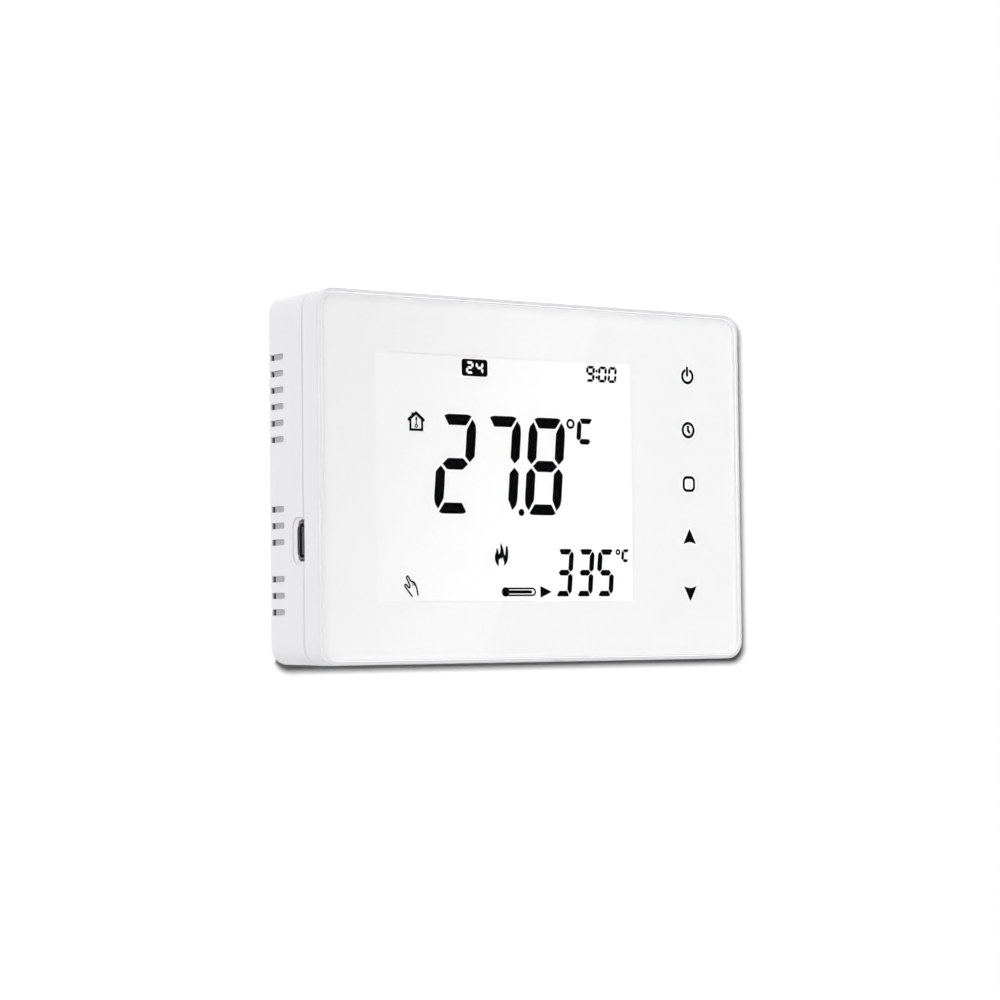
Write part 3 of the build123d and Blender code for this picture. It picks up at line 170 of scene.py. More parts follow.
def stroke(path, width, face=DISPLAY_FACE, closed=False):
    """A drawn line: a rectangle carried along the path. Across the line s runs from -1 to 1, and a point is
    path + s * half width * normal. An open line ends in half circles: there the half width falls as the
    cosine of an angle while the line runs on by its sine."""
    path = np.asarray(path, float)
    half = np.full(len(path), width / 2)
    if not closed:
        angle = np.linspace(0, math.pi / 2, END_POINTS)[1:]
        angle[-1] *= END_SHARE
        ahead = (path[-1] - path[-2]) / np.linalg.norm(path[-1] - path[-2])
        behind = (path[0] - path[1]) / np.linalg.norm(path[0] - path[1])
        run = np.sin(angle)[:, None] * width / 2
        taper = np.cos(angle) * width / 2
        path = np.concatenate([(path[0] + behind * run)[::-1], path, path[-1] + ahead * run])
        half = np.concatenate([taper[::-1], half, taper])
    across = normals(path, closed) * half[:, None]
    sides = np.stack([path + across, path - across, path - across, path + across], 1)
    depth = face + np.array([0, 0, INK, INK])
    points = np.stack([sides[..., 0], np.broadcast_to(depth, sides.shape[:2]), sides[..., 1]], 2)
    count = len(path)
    station = np.arange(count if closed else count - 1)[:, None] * 4
    corner = np.arange(4)[None, :]
    following = (station + 4) % (4 * count)
    beside = (corner + 1) % 4
    quads = np.stack([station + corner, station + beside, following + beside, following + corner], 2)
    faces = quads.reshape(-1, 4).tolist()
    if not closed:
        last = 4 * (count - 1)
        faces += [[3, 2, 1, 0], [last, last + 1, last + 2, last + 3]]
    return points.reshape(-1, 3), faces


def make_piece(name, solids, finish):
    """Joins solids into one mesh object that rides on the thermostat."""
    starts = np.cumsum([0] + [len(points) for points, _ in solids[:-1]])
    faces = [[i + int(start) for i in face] for start, (_, some) in zip(starts, solids) for face in some]
    mesh = bpy.data.meshes.new(name)
    mesh.from_pydata(np.concatenate([points for points, _ in solids]).tolist(), [], faces)
    mesh.update()
    mesh.materials.append(finish.material)
    piece = bpy.data.objects.new(name, mesh)
    bpy.context.scene.collection.objects.link(piece)
    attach(piece, BODY)
    return piece


# Seven-bar digits
# ----------------

BARS = {
    "0": "abcdef", "1": "bc", "2": "abdeg", "3": "abcdg", "4": "bcfg", "5": "acdfg",
    "6": "acdefg", "7": "abc", "8": "abcdefg", "9": "abcdfg", "C": "afg",
}
TAPER = 0.75                    # how far the slanted ends of the small digits' bars run
BAR_GROWTH = 0.03               # growth of a bar on each side, as a share of its width


def bar_outlines(width, height, bar, taper):
    """The seven bars of a digit. The top, the upper left and the middle one are drawn in multiples of the
    bar's width, and the others are their mirror images. The taper lengthens the slanted ends of the bars."""
    w, h = width / bar, height / bar
    half = h / 2
    inset = 1 + 0.18 * taper
    top = np.array([
        (0.62, h - 0.15), (1, h), (w - 1, h), (w - 0.62, h - 0.15), (w - inset, h - 1), (inset, h - 1),
    ])
    low = half + 0.3 + 0.45 * taper
    left = np.array([
        (0, low), (0, h - 0.6 - 0.85 * taper), (0.12, h - 0.45 - 0.45 * taper), (0.5, h - 0.45),
        (1.04, h - 0.9 - 0.55 * taper), (1.04, low), (0.52, half + 0.22),
    ])
    cut = 0.9 + 0.4 * taper
    middle = np.array([
        (0.73, half), (cut, half + 0.52), (w - cut, half + 0.52), (w - 0.73, half),
        (w - cut, half - 0.52), (cut, half - 0.52),
    ])
    across = np.array([(-1, 1), (w, 0)])
    down = np.array([(1, -1), (0, h)])
    bars = {
        "a": top, "b": left * across[0] + across[1], "d": top * down[0] + down[1], "f": left, "g": middle,
        "e": left * down[0] + down[1], "c": (left * across[0] + across[1]) * down[0] + down[1],
    }
    return {name: outline * bar for name, outline in bars.items()}


def digit_outlines(text, corner, size, slant, taper=TAPER):
    """Outlines of the bars of a row of digits. size is (digit width, height, bar width, pitch), and the slant
    moves each point right by its height times the slant. Each bar is grown by a share of its width, so that
    its cut corners stay short. A full stop is a dot before the next digit."""
    width, height, bar, pitch = size
    growth = BAR_GROWTH * bar
    bars = bar_outlines(width - 2 * growth, height - 2 * growth, bar, taper)
    outlines = []
    x, bottom = corner
    for sign in text:
        if sign in BARS:
            for name in BARS[sign]:
                outline = grown(bars[name], growth) + growth
                moved = outline + np.column_stack([outline[:, 1] * slant, np.zeros(len(outline))])
                outlines.append(moved + (x, bottom))
            x += pitch
        if sign == ".":
            dot = (x - (pitch - width) * 0.34, bottom + bar * 0.24)
            outlines.append(arc(dot, bar * 0.35, count=24))
    return outlines


# Shader nodes
# ------------

BLACK = (0.0, 0.0, 0.0)


def math_method(operation, mirrored=False):
    """A method that feeds a wire and other values to a Math node, the wire last where it's mirrored."""
    def method(wire, *others):
        values = (*others, wire) if mirrored else (wire, *others)
        return wire.nodes.add("ShaderNodeMath", {"operation": operation}, dict(enumerate(values)))
    return method


class Wire:
    """A value on its way between two nodes. Sums written with wires add Math nodes."""
    __add__ = __radd__ = math_method("ADD")
    __sub__ = math_method("SUBTRACT")
    __rsub__ = math_method("SUBTRACT", mirrored=True)
    __mul__ = __rmul__ = math_method("MULTIPLY")
    __truediv__ = math_method("DIVIDE")
    __pow__ = math_method("POWER")
    __lt__ = math_method("LESS_THAN")
    __gt__ = math_method("GREATER_THAN")
    __abs__ = math_method("ABSOLUTE")
    at_least = math_method("MAXIMUM")
    at_most = math_method("MINIMUM")
    fraction = math_method("FRACT")

    def __init__(self, nodes, socket):
        self.nodes = nodes
        self.socket = socket

    def wave(self, length):
        """Runs from 0 to 1 and starts again after each length."""
        return (self / length).fraction()

    def inside(self, low, high):
        """1 from low to high and 0 elsewhere."""
        return (self > low) * (self < high)

    def between(self, low, high):
        """0 up to low and 1 from high, with a soft step between them."""
        settings = {"interpolation_type": "SMOOTHSTEP"}
        return self.nodes.add("ShaderNodeMapRange", settings, {0: self, 1: low, 2: high})


class Nodes:
    """A node tree that grows as nodes are written."""

    def __init__(self, tree):
        self.tree = tree

    def add(self, kind, settings=None, sockets=None, output=0):
        """A new node of that kind: its settings first, then the values or wires of its sockets."""
        node = self.tree.nodes.new(kind)
        for name, value in (settings or {}).items():
            setattr(node, name, value)
        for name, value in (sockets or {}).items():
            self.join(node.inputs[name], value)
        return Wire(self, node.outputs[output])

    def join(self, socket, value):
        if isinstance(value, Wire):
            self.tree.links.new(value.socket, socket)
        else:
            socket.default_value = value


class Finish(Nodes):
    """A material with one shader and the nodes that drive it. What sets the shader returns the finish."""

    def __init__(self, name, **constants):
        self.material = bpy.data.materials.new(name)
        self.material.use_nodes = True
        super().__init__(self.material.node_tree)
        self.shader = self.tree.nodes["Principled BSDF"]
        self.place = self.add("ShaderNodeTexCoord", output="Object")
        self.drive(**constants)

    def drive(self, **sockets):
        """Sets or links sockets of the shader, whose names have spaces in place of underscores."""
        for name, value in sockets.items():
            self.join(self.shader.inputs[name.replace("_", " ")], value)
        return self

    def paint(self, factor, first, second):
        """Gives the surface the first colour where the factor is 0, and the second where it is 1."""
        return self.drive(Base_Color=self.mix(factor, first, second))

    def paint_metal(self, metal, colour, metal_colour, roughness):
        """Paints the surface in one colour, and makes it metal of another where the factor is 1."""
        return self.paint(metal, colour, metal_colour).drive(Metallic=metal, Roughness=roughness)

    def shine(self, colour):
        """Gives the surface light of its own."""
        return self.drive(Emission_Color=rgba(colour), Emission_Strength=1.0)

    def bump(self, height, depth, strength):
        """Raises the surface by the height times the depth."""
        sockets = {"Height": height, "Distance": depth, "Strength": strength}
        return self.drive(Normal=self.add("ShaderNodeBump", sockets=sockets))

    def surface(self, wire):
        """Puts another shader on the surface. The first one goes if the new one makes no use of it."""
        self.join(self.tree.nodes["Material Output"].inputs["Surface"], wire)
        if not self.shader.outputs[0].is_linked:
            self.tree.nodes.remove(self.shader)
        return self

    def painted(self):
        """The first shader, for use in another."""
        return Wire(self, self.shader.outputs[0])

    def axis(self, name):
        """One of the object coordinates."""
        return self.add("ShaderNodeSeparateXYZ", sockets={0: self.place}, output=name)

    x = property(lambda self: self.axis("X"))
    y = property(lambda self: self.axis("Y"))
    z = property(lambda self: self.axis("Z"))

    def noise(self, size, detail=2.0, roughness=0.5, place=None):
        """Noise whose lumps are about that size, from 0 to 1."""
        return self.add("ShaderNodeTexNoise", sockets={
            "Vector": place or self.place, "Scale": 1 / size, "Detail": detail, "Roughness": roughness})

    def cells(self, size, output="Distance", **settings):
        """Scattered cells of about that size."""
        return self.add("ShaderNodeTexVoronoi", settings, {"Vector": self.place, "Scale": 1 / size}, output)

    def mix(self, factor, first, second):
        """The first colour where the factor is 0, and the second where it is 1."""
        sockets = {0: factor, 6: rgba(first), 7: rgba(second)}
        return self.add("ShaderNodeMix", {"data_type": "RGBA"}, sockets, 2)

    def light(self, factor, level):
        """Grey light of that level where the factor is 1."""
        return self.mix(factor, BLACK, grey(level))

    def blend_shaders(self, factor, first, second):
        return self.add("ShaderNodeMixShader", sockets={0: factor, 1: first, 2: second})


def rgba(colour):
    """A colour with its alpha, or the wire that brings one."""
    return colour if isinstance(colour, Wire) else (*colour, 1)


def grey(level):
    return (level,) * 3


def shade(colour, share):
    """A colour made darker or lighter by a share."""
    return tuple(min(1.0, part * share) for part in colour)


# Finishes
# --------

PATCH = 14 * MM                 # size of the slow changes of tone in moulded plastic
LEAN_X, LEAN_Z = 0.92, 0.4      # direction across the leaning line of the painted sheen on the panel
LINE = 0.425, 0.437             # start and end of the painted sheen's step at that line, as shares of the window's width
SCREEN_PITCH = 0.25 * MM        # threads of the screen that prints the white
LIT_STRIP = 1.6 * MM            # of the print along the glass's edge that gets painted light
LIT_BOTTOM = 3 * MM             # the part of it at the bottom where the painted light is full
SIDE_SHARE = 0.25               # how strong the painted light is on the rest of it
GROUND_DEPTH = 0.4 * MM         # from the glass's front to its ground sides
SOCKET_LIP = 0.12 * MM          # of bright steel at the socket's mouth
# Of the casing, the start and the end of each part with painted shade or painted light of its own
RIM_DEPTH = 0.3 * MM, 0.6 * MM                  # where the rim's painted shade fades, from its face inwards
POCKET_INSET = 0.75 * MM, 1.6 * MM              # the wall of the pocket with painted light, from the casing's side inwards
POCKET_DEPTH = 0.05 * MM, 2.3 * MM              # and from the rim's face inwards
STEP_DEPTH = 0.1 * MM, 0.14 * MM, 0.27 * MM     # painted shade on the steps in the sides: a fade, full tone and the end
GROOVE_DEPTH = 0.45 * MM, 1.0 * MM              # painted shade on the floors of the grooves in the sides
REAR_EDGE = 0.6 * MM                            # at the rear, which keeps the plain tone


def grained(name, grain, roughness=0.42):
    """Moulded plastic with the fine grain of an etched tool: small noise raises it and varies its gloss."""
    finish = Finish(name, Specular_IOR_Level=0.2)
    fine = finish.noise(grain, detail=3.0, roughness=0.6)
    return finish.drive(Roughness=roughness - 0.06 + 0.12 * fine).bump(fine, 0.00002, 0.6)


def moulded_plastic(name, colour, grain, roughness=0.42):
    """Grained plastic whose tone varies slowly by about one part in a hundred."""
    finish = grained(name, grain, roughness)
    return finish.paint(finish.noise(PATCH, detail=1.0), shade(colour, 0.985), shade(colour, 1.012))


def clear_sheet(finish, bend, roughness, tint=(1.0, 1.0, 1.0), smeared=True):
    """Light passes straight through, and a share of it that grows towards the edge of sight is mirrored.
    Faint smears may vary that share."""
    through = finish.add("ShaderNodeBsdfTransparent", sockets={0: rgba(tint)})
    gloss = finish.add("ShaderNodeBsdfAnisotropic", sockets={"Roughness": roughness})
    share = finish.add("ShaderNodeFresnel", sockets={"IOR": bend})
    if smeared:
        share = share * (0.92 + 0.16 * finish.noise(0.03, detail=3.0))
    return finish.blend_shaders(share, through, gloss)


def from_middle(finish, node):
    """How far a point lies from a node's middle along X, Y and Z, and the node's half sizes."""
    low, high = (np.array(corner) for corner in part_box(node))
    axes = (finish.x, finish.y, finish.z)
    return [axis - float(middle) for axis, middle in zip(axes, (low + high) / 2)], (high - low) / 2


def inward(finish, node, radius):
    """How far a point lies in from the outline of a node that is a rectangle with round corners: inside the
    corner's square the distance to its arc, and elsewhere the distance to the nearer side."""
    (x, _, z), half = from_middle(finish, node)
    dx = abs(x) - (half[0] - radius)
    dz = abs(z) - (half[2] - radius)
    corner = (dx.at_least(0.0) ** 2 + dz.at_least(0.0) ** 2) ** 0.5
    return radius - corner - dx.at_least(dz).at_most(0.0)


def painted_sheen(finish, low, high):
    """How far a point lies across the panel, from 0 at its upper left to 1 at a line that leans to the right,
    and a soft step at that line. They drive the painted shade and the painted sheen of the panel."""
    lean = (finish.x - WINDOW_X) * LEAN_X - (finish.z - WINDOW_Z) * LEAN_Z
    return [lean.between(a * WINDOW_WIDTH, b * WINDOW_WIDTH) for a, b in ((low, high), LINE)]


def printed_white(settings):
    """Screen print with the weave of its screen. Its white rises slowly from the upper left to the leaning
    line, and is even past it: painted shade at the upper left and a painted sheen along the line. Painted
    light on its outermost strip along the glass's edge, most of all at the bottom, lifts the rim's shade
    there."""
    finish = Finish("white_print", Specular_IOR_Level=0.2)
    weave = abs(finish.x.wave(SCREEN_PITCH) - 0.5) + abs(finish.z.wave(SCREEN_PITCH) - 0.5)
    rise, step = painted_sheen(finish, -0.55, 0.43)
    slow = finish.mix(rise, settings.print_painted_shade_left, settings.print_painted_sheen_middle)
    finish.paint(step, slow, settings.print_colour).drive(Roughness=0.55 + 0.1 * weave)
    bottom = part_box("glass_print")[0][2]
    strip = inward(finish, "glass_print", GLASS_RADIUS).between(LIT_STRIP, 0.0)
    below = SIDE_SHARE + (1 - SIDE_SHARE) * finish.z.between(bottom + LIT_BOTTOM, bottom)
    return finish.shine(finish.light(strip * below, settings.print_edge_painted_light))


def panel_glass(settings):
    """Coated glass with a painted highlight along its bevel, and paler ground sides that carry painted light.
    """
    finish = Finish("panel_glass", Roughness=0.3, Specular_IOR_Level=0.3)
    ground = finish.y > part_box("touch_glass")[0][1] + GROUND_DEPTH
    tone = finish.mix(ground, settings.bevel_highlight_colour, settings.ground_colour)
    finish.paint(finish.noise(0.002) * 0.01, tone, BLACK).shine(finish.light(ground, settings.ground_painted_light))
    bevel = inward(finish, "touch_glass", GLASS_RADIUS) < settings.bevel
    return finish.surface(finish.blend_shaders(bevel, clear_sheet(finish, 1.08, 0.04), finish.painted()))


def mottled(name, first, second, size, detail, gloss, **constants):
    """Two colours mixed by noise, which also varies the roughness: gloss is its least value and its range."""
    finish = Finish(name, **constants)
    mottle = finish.noise(size, detail)
    return finish.paint(mottle, first, second).drive(Roughness=gloss[0] + gloss[1] * mottle)


def printed_ink(name, colour):
    """Dense ink with a slight unevenness in tone and gloss."""
    ends = shade(colour, 0.8), shade(colour, 1.2)
    return mottled(name, *ends, 0.0006, 2.0, (0.6, 0.15), Specular_IOR_Level=0.0)


def white_ink_painted_light(name, colour):
    """White ink with a little painted light of its own."""
    finish = Finish(name, Roughness=0.6, Specular_IOR_Level=0.0)
    return finish.paint(finish.noise(0.0008), shade(colour, 0.985), colour).shine(grey(0.12))


def brushed_metal(name, colour, roughness=0.25):
    """Metal rolled or brushed along X: noise stretched along X varies its tone and gloss."""
    finish = Finish(name, Metallic=1.0)
    stretched = finish.add("ShaderNodeMapping", sockets={"Vector": finish.place, "Scale": (0.02, 1, 1)})
    lines = finish.noise(2 / 3 * MM, detail=4.0, place=stretched)
    finish.paint(lines, shade(colour, 0.85), shade(colour, 1.1))
    return finish.drive(Roughness=roughness - 0.08 + 0.16 * lines).bump(lines, 0.000004, 0.5)


def foam(name, colour, size):
    """Closed foam: small round cells pitted into a dull surface."""
    finish = Finish(name, Roughness=0.9, Specular_IOR_Level=0.2)
    pits = finish.cells(size)
    return finish.paint(pits, shade(colour, 0.7), shade(colour, 1.25)).bump(pits, size * 0.3, 0.7)


def spots(finish, pitch):
    """The square of the distance from the nearest point of a grid, in shares of the grid's pitch."""
    return (finish.x.wave(pitch) - 0.5) ** 2 + (finish.z.wave(pitch) - 0.5) ** 2


# Sizes and colours that a user would change
# ------------------------------------------


def colour_property(name, description, default):
    return bpy.props.FloatVectorProperty(
        name=name, description=description, subtype="COLOR", size=3, min=0.0, max=1.0, default=default)


def length_property(name, description, default):
    return bpy.props.FloatProperty(
        name=name, description=description, subtype="DISTANCE", unit="LENGTH", min=0.0, default=default,
        precision=5)


def number_property(name, description, default):
    return bpy.props.FloatProperty(name=name, description=description, min=0.0, default=default)


def text_property(name, description, default):
    return bpy.props.StringProperty(name=name, description=description, default=default)


class CaseSettings(bpy.types.PropertyGroup):
    """Colours and grain of the casing."""
    case_colour: colour_property("Case", "Colour of the housing and the front frame", (0.825, 0.821, 0.841))
    # Painted shade: the rim's darker tone, darker again at the top and the bottom
    rim_colour: colour_property("Rim", "Colour of the rim round the glass", (0.74, 0.735, 0.753))
    # Painted light on the wall of the pocket round the glass
    pocket_painted_light: number_property("Stray light", "Light on the wall of the pocket round the glass", 0.5)
    # Painted shade in the parting line
    seam_shade_colour: colour_property("Seam", "Colour of the dust in the parting line", (0.69, 0.68, 0.69))
    seam: length_property("Seam width", "Width of the dust line", 0.00035)
    # Painted shade in the gap round the socket
    gap_shade_colour: colour_property("Gap", "Colour of the gap round the socket", (0.02, 0.019, 0.018))
    socket_gap_shade: length_property("Socket gap", "Width of the dark gap round the socket", 0.00045)
    step_shadow: number_property("Step shadow", "Share by which the steps in the sides are darker", 0.25)
    groove_shadow: number_property("Groove shadow", "Share by which the grooves' floors are darker", 0.36)
    plate_colour: colour_property("Plate", "Colour of the wall plate", (0.78, 0.78, 0.8))
    grain: length_property("Grain", "Size of the grain of the moulded plastic", 0.00045)


class PanelSettings(bpy.types.PropertyGroup):
    """Glass panel with its print and key symbols."""
    print_colour: colour_property("Print", "White print behind the glass", grey(0.93))
    # Painted shade at the upper left of the print, rising to a painted sheen along the leaning line
    print_painted_shade_left: colour_property("Print, left", "The print at the upper left", grey(0.862))
    print_painted_sheen_middle: colour_property("Print, middle", "The print along the leaning line", grey(0.955))
    # Painted highlight along the glass's bevel
    bevel_highlight_colour: colour_property("Bevel", "Colour of the line along the glass's bevel", (0.76, 0.76, 0.765))
    bevel: length_property("Bevel width", "Width of the line along the glass's bevel", 0.00025)
    # Pale ground sides of the glass, with painted light on them
    ground_colour: colour_property("Glass edge", "Colour of the glass's ground sides", (0.82, 0.82, 0.825))
    ground_painted_light: number_property("Glass edge light", "Light carried by the glass's ground sides", 0.15)
    # Painted light on the outermost strip of the print
    print_edge_painted_light: number_property("Edge light", "Light on the outermost strip of the print", 0.17)
    symbol_colour: colour_property("Symbols", "Colour of the key symbols", grey(0.001))
    rim_colour: colour_property("Rim", "White edge round each key symbol", grey(0.98))
    line: length_property("Line", "Width of the lines of the key symbols", 0.00072)
    rim: length_property("Rim width", "Width of the white edge round each key symbol", 0.00045)
    symbol: length_property("Symbol", "Width of a key symbol", 0.00416)


class DisplaySettings(bpy.types.PropertyGroup):
    """What the display shows, and its tones."""
    room_reading: text_property("Room", "Room temperature shown in the large digits", "27.8")
    set_reading: text_property("Set", "Set temperature shown at the lower right", "335")
    hours: text_property("Hours", "Hours of the clock", "9")
    minutes: text_property("Minutes", "Minutes of the clock", "00")
    day: text_property("Day", "Day of the month in the dark badge", "24")
    slant: number_property("Slant", "How far a digit leans to the right for each unit of height", 0.082)
    edge: length_property("Edge", "Width of the white edge round the bars", 0.0003)
    ink_colour: colour_property("Ink", "Colour of the bars", grey(0.001))
    edge_colour: colour_property("Edge colour", "Colour of the edge round the bars", grey(0.98))
    film_colour: colour_property("Film", "Colour of the display's front film", grey(0.86))
    # Painted light of the display in place of a backlight, with a painted sheen at its leaning step
    left_painted_light: colour_property("Left tone", "Light of the display at its left", grey(0.15))
    right_painted_light: colour_property("Right tone", "Light of the display at its right", grey(0.2))


class StageSettings(bpy.types.PropertyGroup):
    """Lamps, wall and floor."""
    lamp_strength: number_property("Lamps", "Strength of the soft lamps together", 3.22)
    fill_strength: number_property("Fill", "Strength of the even light from all sides", 0.06)
    wall_strength: number_property("Wall lamps", "Strength of the lamps that light the wall alone", 3.05)
    wall_colour: colour_property("Wall", "Colour of the wall and the floor", grey(0.98))


# Operators that finish the parts
# -------------------------------


def dress(finish, *names):
    """Gives CAD nodes their material."""
    for name in names:
        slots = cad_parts[name].data.materials
        slots.clear()
        slots.append(finish.material)


class THERMOSTAT_OT_case(bpy.types.Operator):
    """Finish the housing, the front frame and the wall plate in grained white plastic"""
    bl_idname = "thermostat.case"
    bl_label = "Case"

    def execute(self, context):
        settings = context.scene.thermostat_case
        dress(self.case_plastic(settings), "rear_housing", "front_frame")
        dress(moulded_plastic("white_plate", settings.plate_colour, settings.grain, 0.55), "wall_plate")
        return {"FINISHED"}

    def case_plastic(self, settings):
        """Grained plastic. Painted shade darkens the parting line and the gap round the socket, and painted
        light lights the wall of the glass's pocket."""
        finish = grained("white_case", settings.grain)
        seam = abs(finish.y - PARTING) < settings.seam / 2
        tone = finish.mix(seam, self.rim(finish, settings), settings.seam_shade_colour)
        tone = finish.mix(self.socket_gap_shade(finish, settings.socket_gap_shade), tone, settings.gap_shade_colour)
        tone = self.sunk(finish, tone, settings)
        finish.paint(finish.noise(PATCH, detail=1.0) * 0.02, tone, BLACK)
        depth = inward(finish, "front_frame", CASE_RADIUS)
        pocket = depth.inside(*POCKET_INSET) * (finish.y - RIM_FACE).inside(*POCKET_DEPTH)
        return finish.shine(finish.light(pocket, settings.pocket_painted_light))

    def rim(self, finish, settings):
        """The plastic's colour, with painted shade on the rim round the glass, darkest at the top and the
        bottom.
        """
        behind = (finish.y - RIM_FACE).between(*RIM_DEPTH)
        ends = abs(finish.z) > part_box("touch_glass")[1][2]
        rim = finish.mix(ends, settings.rim_colour, shade(settings.rim_colour, 0.93))
        return finish.mix(behind, rim, settings.case_colour)

    def socket_gap_shade(self, finish, width):
        """The painted shade in the gap round the socket: there the distance from the shell's middle line is
        less than the shell's half thickness and the gap together."""
        (x, across, z), half = from_middle(finish, "usb_shell")
        along = (abs(z) - (half[2] - half[1])).at_least(0.0)
        near = (across**2 + along**2) ** 0.5 < half[1] + width
        return near * (x > -half[0] - SOCKET_LIP) * (finish.x < 0.0)

    def sunk(self, finish, tone, settings):
        """A tone with painted shade on the steps and on the grooves' floors in the sides of the rear housing.
        """
        _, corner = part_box("rear_housing")
        depth = corner[0] - abs(finish.x)
        side = (abs(finish.z) < corner[2] - CASE_RADIUS) * finish.y.inside(PARTING, corner[1] - REAR_EDGE)
        steps = depth.between(*STEP_DEPTH[:2]) * (depth < STEP_DEPTH[2])
        tone = finish.mix(side * steps * settings.step_shadow, tone, BLACK)
        return finish.mix(side * depth.inside(*GROOVE_DEPTH) * settings.groove_shadow, tone, BLACK)


class THERMOSTAT_OT_panel(bpy.types.Operator):
    """Finish the glass, the print behind it, the tape and the touch pads"""
    bl_idname = "thermostat.panel"
    bl_label = "Panel"

    def execute(self, context):
        settings = context.scene.thermostat_panel
        dress(panel_glass(settings), "touch_glass")
        dress(printed_white(settings), "glass_print")
        dress(foam("grey_tape", (0.42, 0.42, 0.44), 0.0004), "panel_tape")
        dress(foam("conductive_foam", (0.05, 0.05, 0.055), 0.0003), "touch_pads")
        return {"FINISHED"}


class THERMOSTAT_OT_display(bpy.types.Operator):
    """Finish the layers of the display, its holder, its lamps and its rubber strip"""
    bl_idname = "thermostat.display"
    bl_label = "Display"

    def execute(self, context):
        dress(self.lit_film(context.scene.thermostat_display), "front_polariser")
        dress(self.film("rear_polariser_film", (0.62, 0.66, 0.62), 0.3), "rear_polariser")
        dress(self.display_glass(), "lcd_front_glass", "lcd_rear_glass")
        dress(self.film("white_film", (0.92, 0.92, 0.93), 0.5), "diffuser_film", "reflector_film")
        dress(self.dotted_acrylic(), "light_guide")
        dress(moulded_plastic("white_moulding", (0.85, 0.85, 0.83), 0.0006), "lcd_holder")
        dress(self.lamp_resin(), "backlight_leds")
        dress(self.striped_rubber(), "zebra_strip")
        return {"FINISHED"}

    def lit_film(self, settings):
        """The front film, with painted light as if lit from behind. The painted light rises slowly from the
        upper left, and a soft step that leans to the right, a painted sheen, marks the part that is lit in
        full."""
        finish = Finish("front_polariser_film", Base_Color=rgba(settings.film_colour), Specular_IOR_Level=0.1)
        rise, step = painted_sheen(finish, -0.2, 0.4)
        slow = finish.mix(rise, shade(settings.left_painted_light, 0.4), settings.left_painted_light)
        finish.shine(finish.mix(step, slow, settings.right_painted_light))
        return finish.drive(Roughness=0.45 + 0.1 * finish.noise(0.0004))

    def film(self, name, colour, roughness):
        """Matt film with fine ridges 0.1 mm apart."""
        finish = Finish(name, Base_Color=rgba(colour))
        finish.drive(Roughness=roughness + 0.1 * finish.noise(0.001))
        return finish.bump(abs(finish.z.wave(0.1 * MM) - 0.5), 0.00002, 0.4)

    def display_glass(self):
        """Clear sheet without a coating."""
        finish = Finish("lcd_glass")
        return finish.surface(clear_sheet(finish, 1.4, 0.02, (0.93, 0.97, 0.95)))

    def dotted_acrylic(self):
        """Clear acrylic with rows of white dots, 0.9 mm apart, that send the light forwards."""
        finish = Finish("clear_acrylic")
        sheet = clear_sheet(finish, 1.49, 0.05, (0.93, 0.96, 0.97), smeared=False)
        dots = finish.add("ShaderNodeBsdfDiffuse", sockets={"Color": rgba(grey(0.9))})
        return finish.surface(finish.blend_shaders(spots(finish, 0.9 * MM) < 0.07, sheet, dots))

    def lamp_resin(self):
        """White lamp bodies with a yellow face in the middle of their height."""
        finish = Finish("led_resin")
        (_, y, _), half = from_middle(finish, "backlight_leds")
        finish.paint(abs(y) < half[1] * 0.64, (0.88, 0.88, 0.85), (0.86, 0.66, 0.12))
        return finish.drive(Roughness=0.25 + 0.2 * finish.noise(0.0005))

    def striped_rubber(self):
        """Rubber with dark conducting stripes 0.18 mm apart across its length."""
        finish = Finish("silicone_strip", Specular_IOR_Level=0.3)
        finish.paint(finish.x.wave(0.18 * MM) > 0.5, (0.7, 0.52, 0.56), (0.05, 0.045, 0.05))
        return finish.drive(Roughness=0.6 + 0.1 * finish.noise(0.001))


